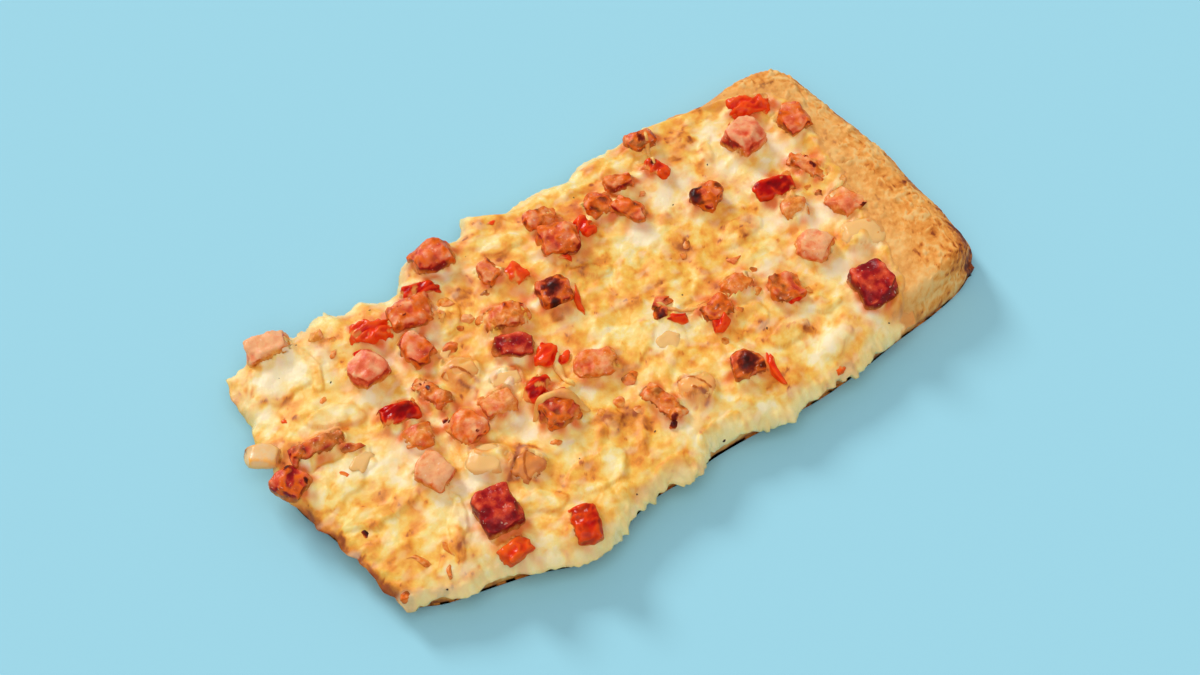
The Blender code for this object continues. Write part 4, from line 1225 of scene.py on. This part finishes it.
# Each strand: its corners, its width, and how golden it is
STRANDS = (
    (((-33.6, -13.6), (-30.0, -11.6), (-25.4, -12.6), (-21.4, -16.6), (-19.6, -19.4)), 2.4, 0.5),
    (((-15.9, 0.6), (-18.9, -2.1), (-19.8, -8.2), (-18.8, -11.6)), 1.9, 0.3),
    (((12.9, -2.2), (16.5, -6.8), (21.4, -9.6)), 1.2, 0.5),
    (((44.0, 45.4), (41.7, 40.3), (39.6, 34.3)), 1.1, 0.4),
)
laid = [
    ray_tree(it.data)
    for it in bpy.data.objects
    if it.name.endswith(("_melted", "_roasted", "_crumbs"))
]
pieces = []
for k, (corners, wide, gold_level) in enumerate(STRANDS):
    made, round_points = ball(5)
    share = np.linspace(0, 1, STRAND_STEPS)
    knots = np.linspace(0, 1, len(corners))
    line = np.column_stack([np.interp(share, knots, ends) for ends in zip(*corners)])
    height = np.array([max(top_of(faces, *at) for faces in laid) for at in line])
    line = np.column_stack([line, height + 0.2 * wide])
    for _ in range(STRAND_SMOOTHING):
        line[1:-1] = 0.25 * line[:-2] + 0.5 * line[1:-1] + 0.25 * line[2:]
    line[:, 2] -= 0.5 * wide * (2 * share - 1) ** 8
    at = (round_points[:, 0] + 1) / 2
    middle = np.column_stack([np.interp(at, share, ends) for ends in line.T])
    heading = np.column_stack([np.interp(at, share, np.gradient(ends)) for ends in line.T[:2]])
    heading /= np.linalg.norm(heading, axis=1)[:, None]
    half = 0.5 * wide * (1 + 0.6 * waves(middle, 3.0, k + 600.0))[:, None]
    aside = np.column_stack([-heading[:, 1], heading[:, 0], 0 * at])
    points = middle + aside * round_points[:, 1:2] * half + (0, 0, 0.8) * round_points[:, 2:3] * half
    set_points(made.data, points)
    paint(
        made.data,
        golden=gold_level + 0.35 * waves(points, 2.4, k + 620.0),
        cream=np.zeros(len(points)),
        stained=0.3 + 0.4 * waves(points, 3.0, k + 640.0),
        bready=np.zeros(len(points)),
        glassy=np.full(len(points), 0.2),
    )
    made.data.shade_smooth()
    pieces.append(made)
gathered(pieces, "cheese_strands", cheese_finish, "melted_cheese")

# Ground black pepper: coarse specks of crushed peppercorn, dull and nearly black, that were strewn
# over the slice. Each is a tiny bit pressed into the cheese.
PEPPER_SPECKS = (
    (-78.9, 35.8), (-68.9, 26.6), (-24.0, -45.0), (-77.1, -39.8), (-62.6, 24.8), (65.2, 27.6), (53.0, 28.4),
    (21.0, -3.4), (-30.2, -29.4), (-9.6, -33.2), (37.0, 22.6), (16.4, 40.2), (-54.4, -30.6), (60.2, -41.0),
    (-70.4, 41.6), (32.6, -24.6), (-18.2, 40.8), (70.6, 30.4), (-48.6, 40.4), (4.6, -43.4),
)
speck_finish, tree, shader = new_material("ground_black_pepper")
feed(shader, {"Base Color": linear("3B2413"), "Roughness": 0.8})
pieces = []
for k, place in enumerate(PEPPER_SPECKS):
    pieces.append(bit(place, (0.8 + 0.1 * (k % 4), 0.6, 0.4), k * 40, k * 2.9 + 500.5, 2)[0])
gathered(pieces, "pepper_specks", speck_finish, "melted_cheese")
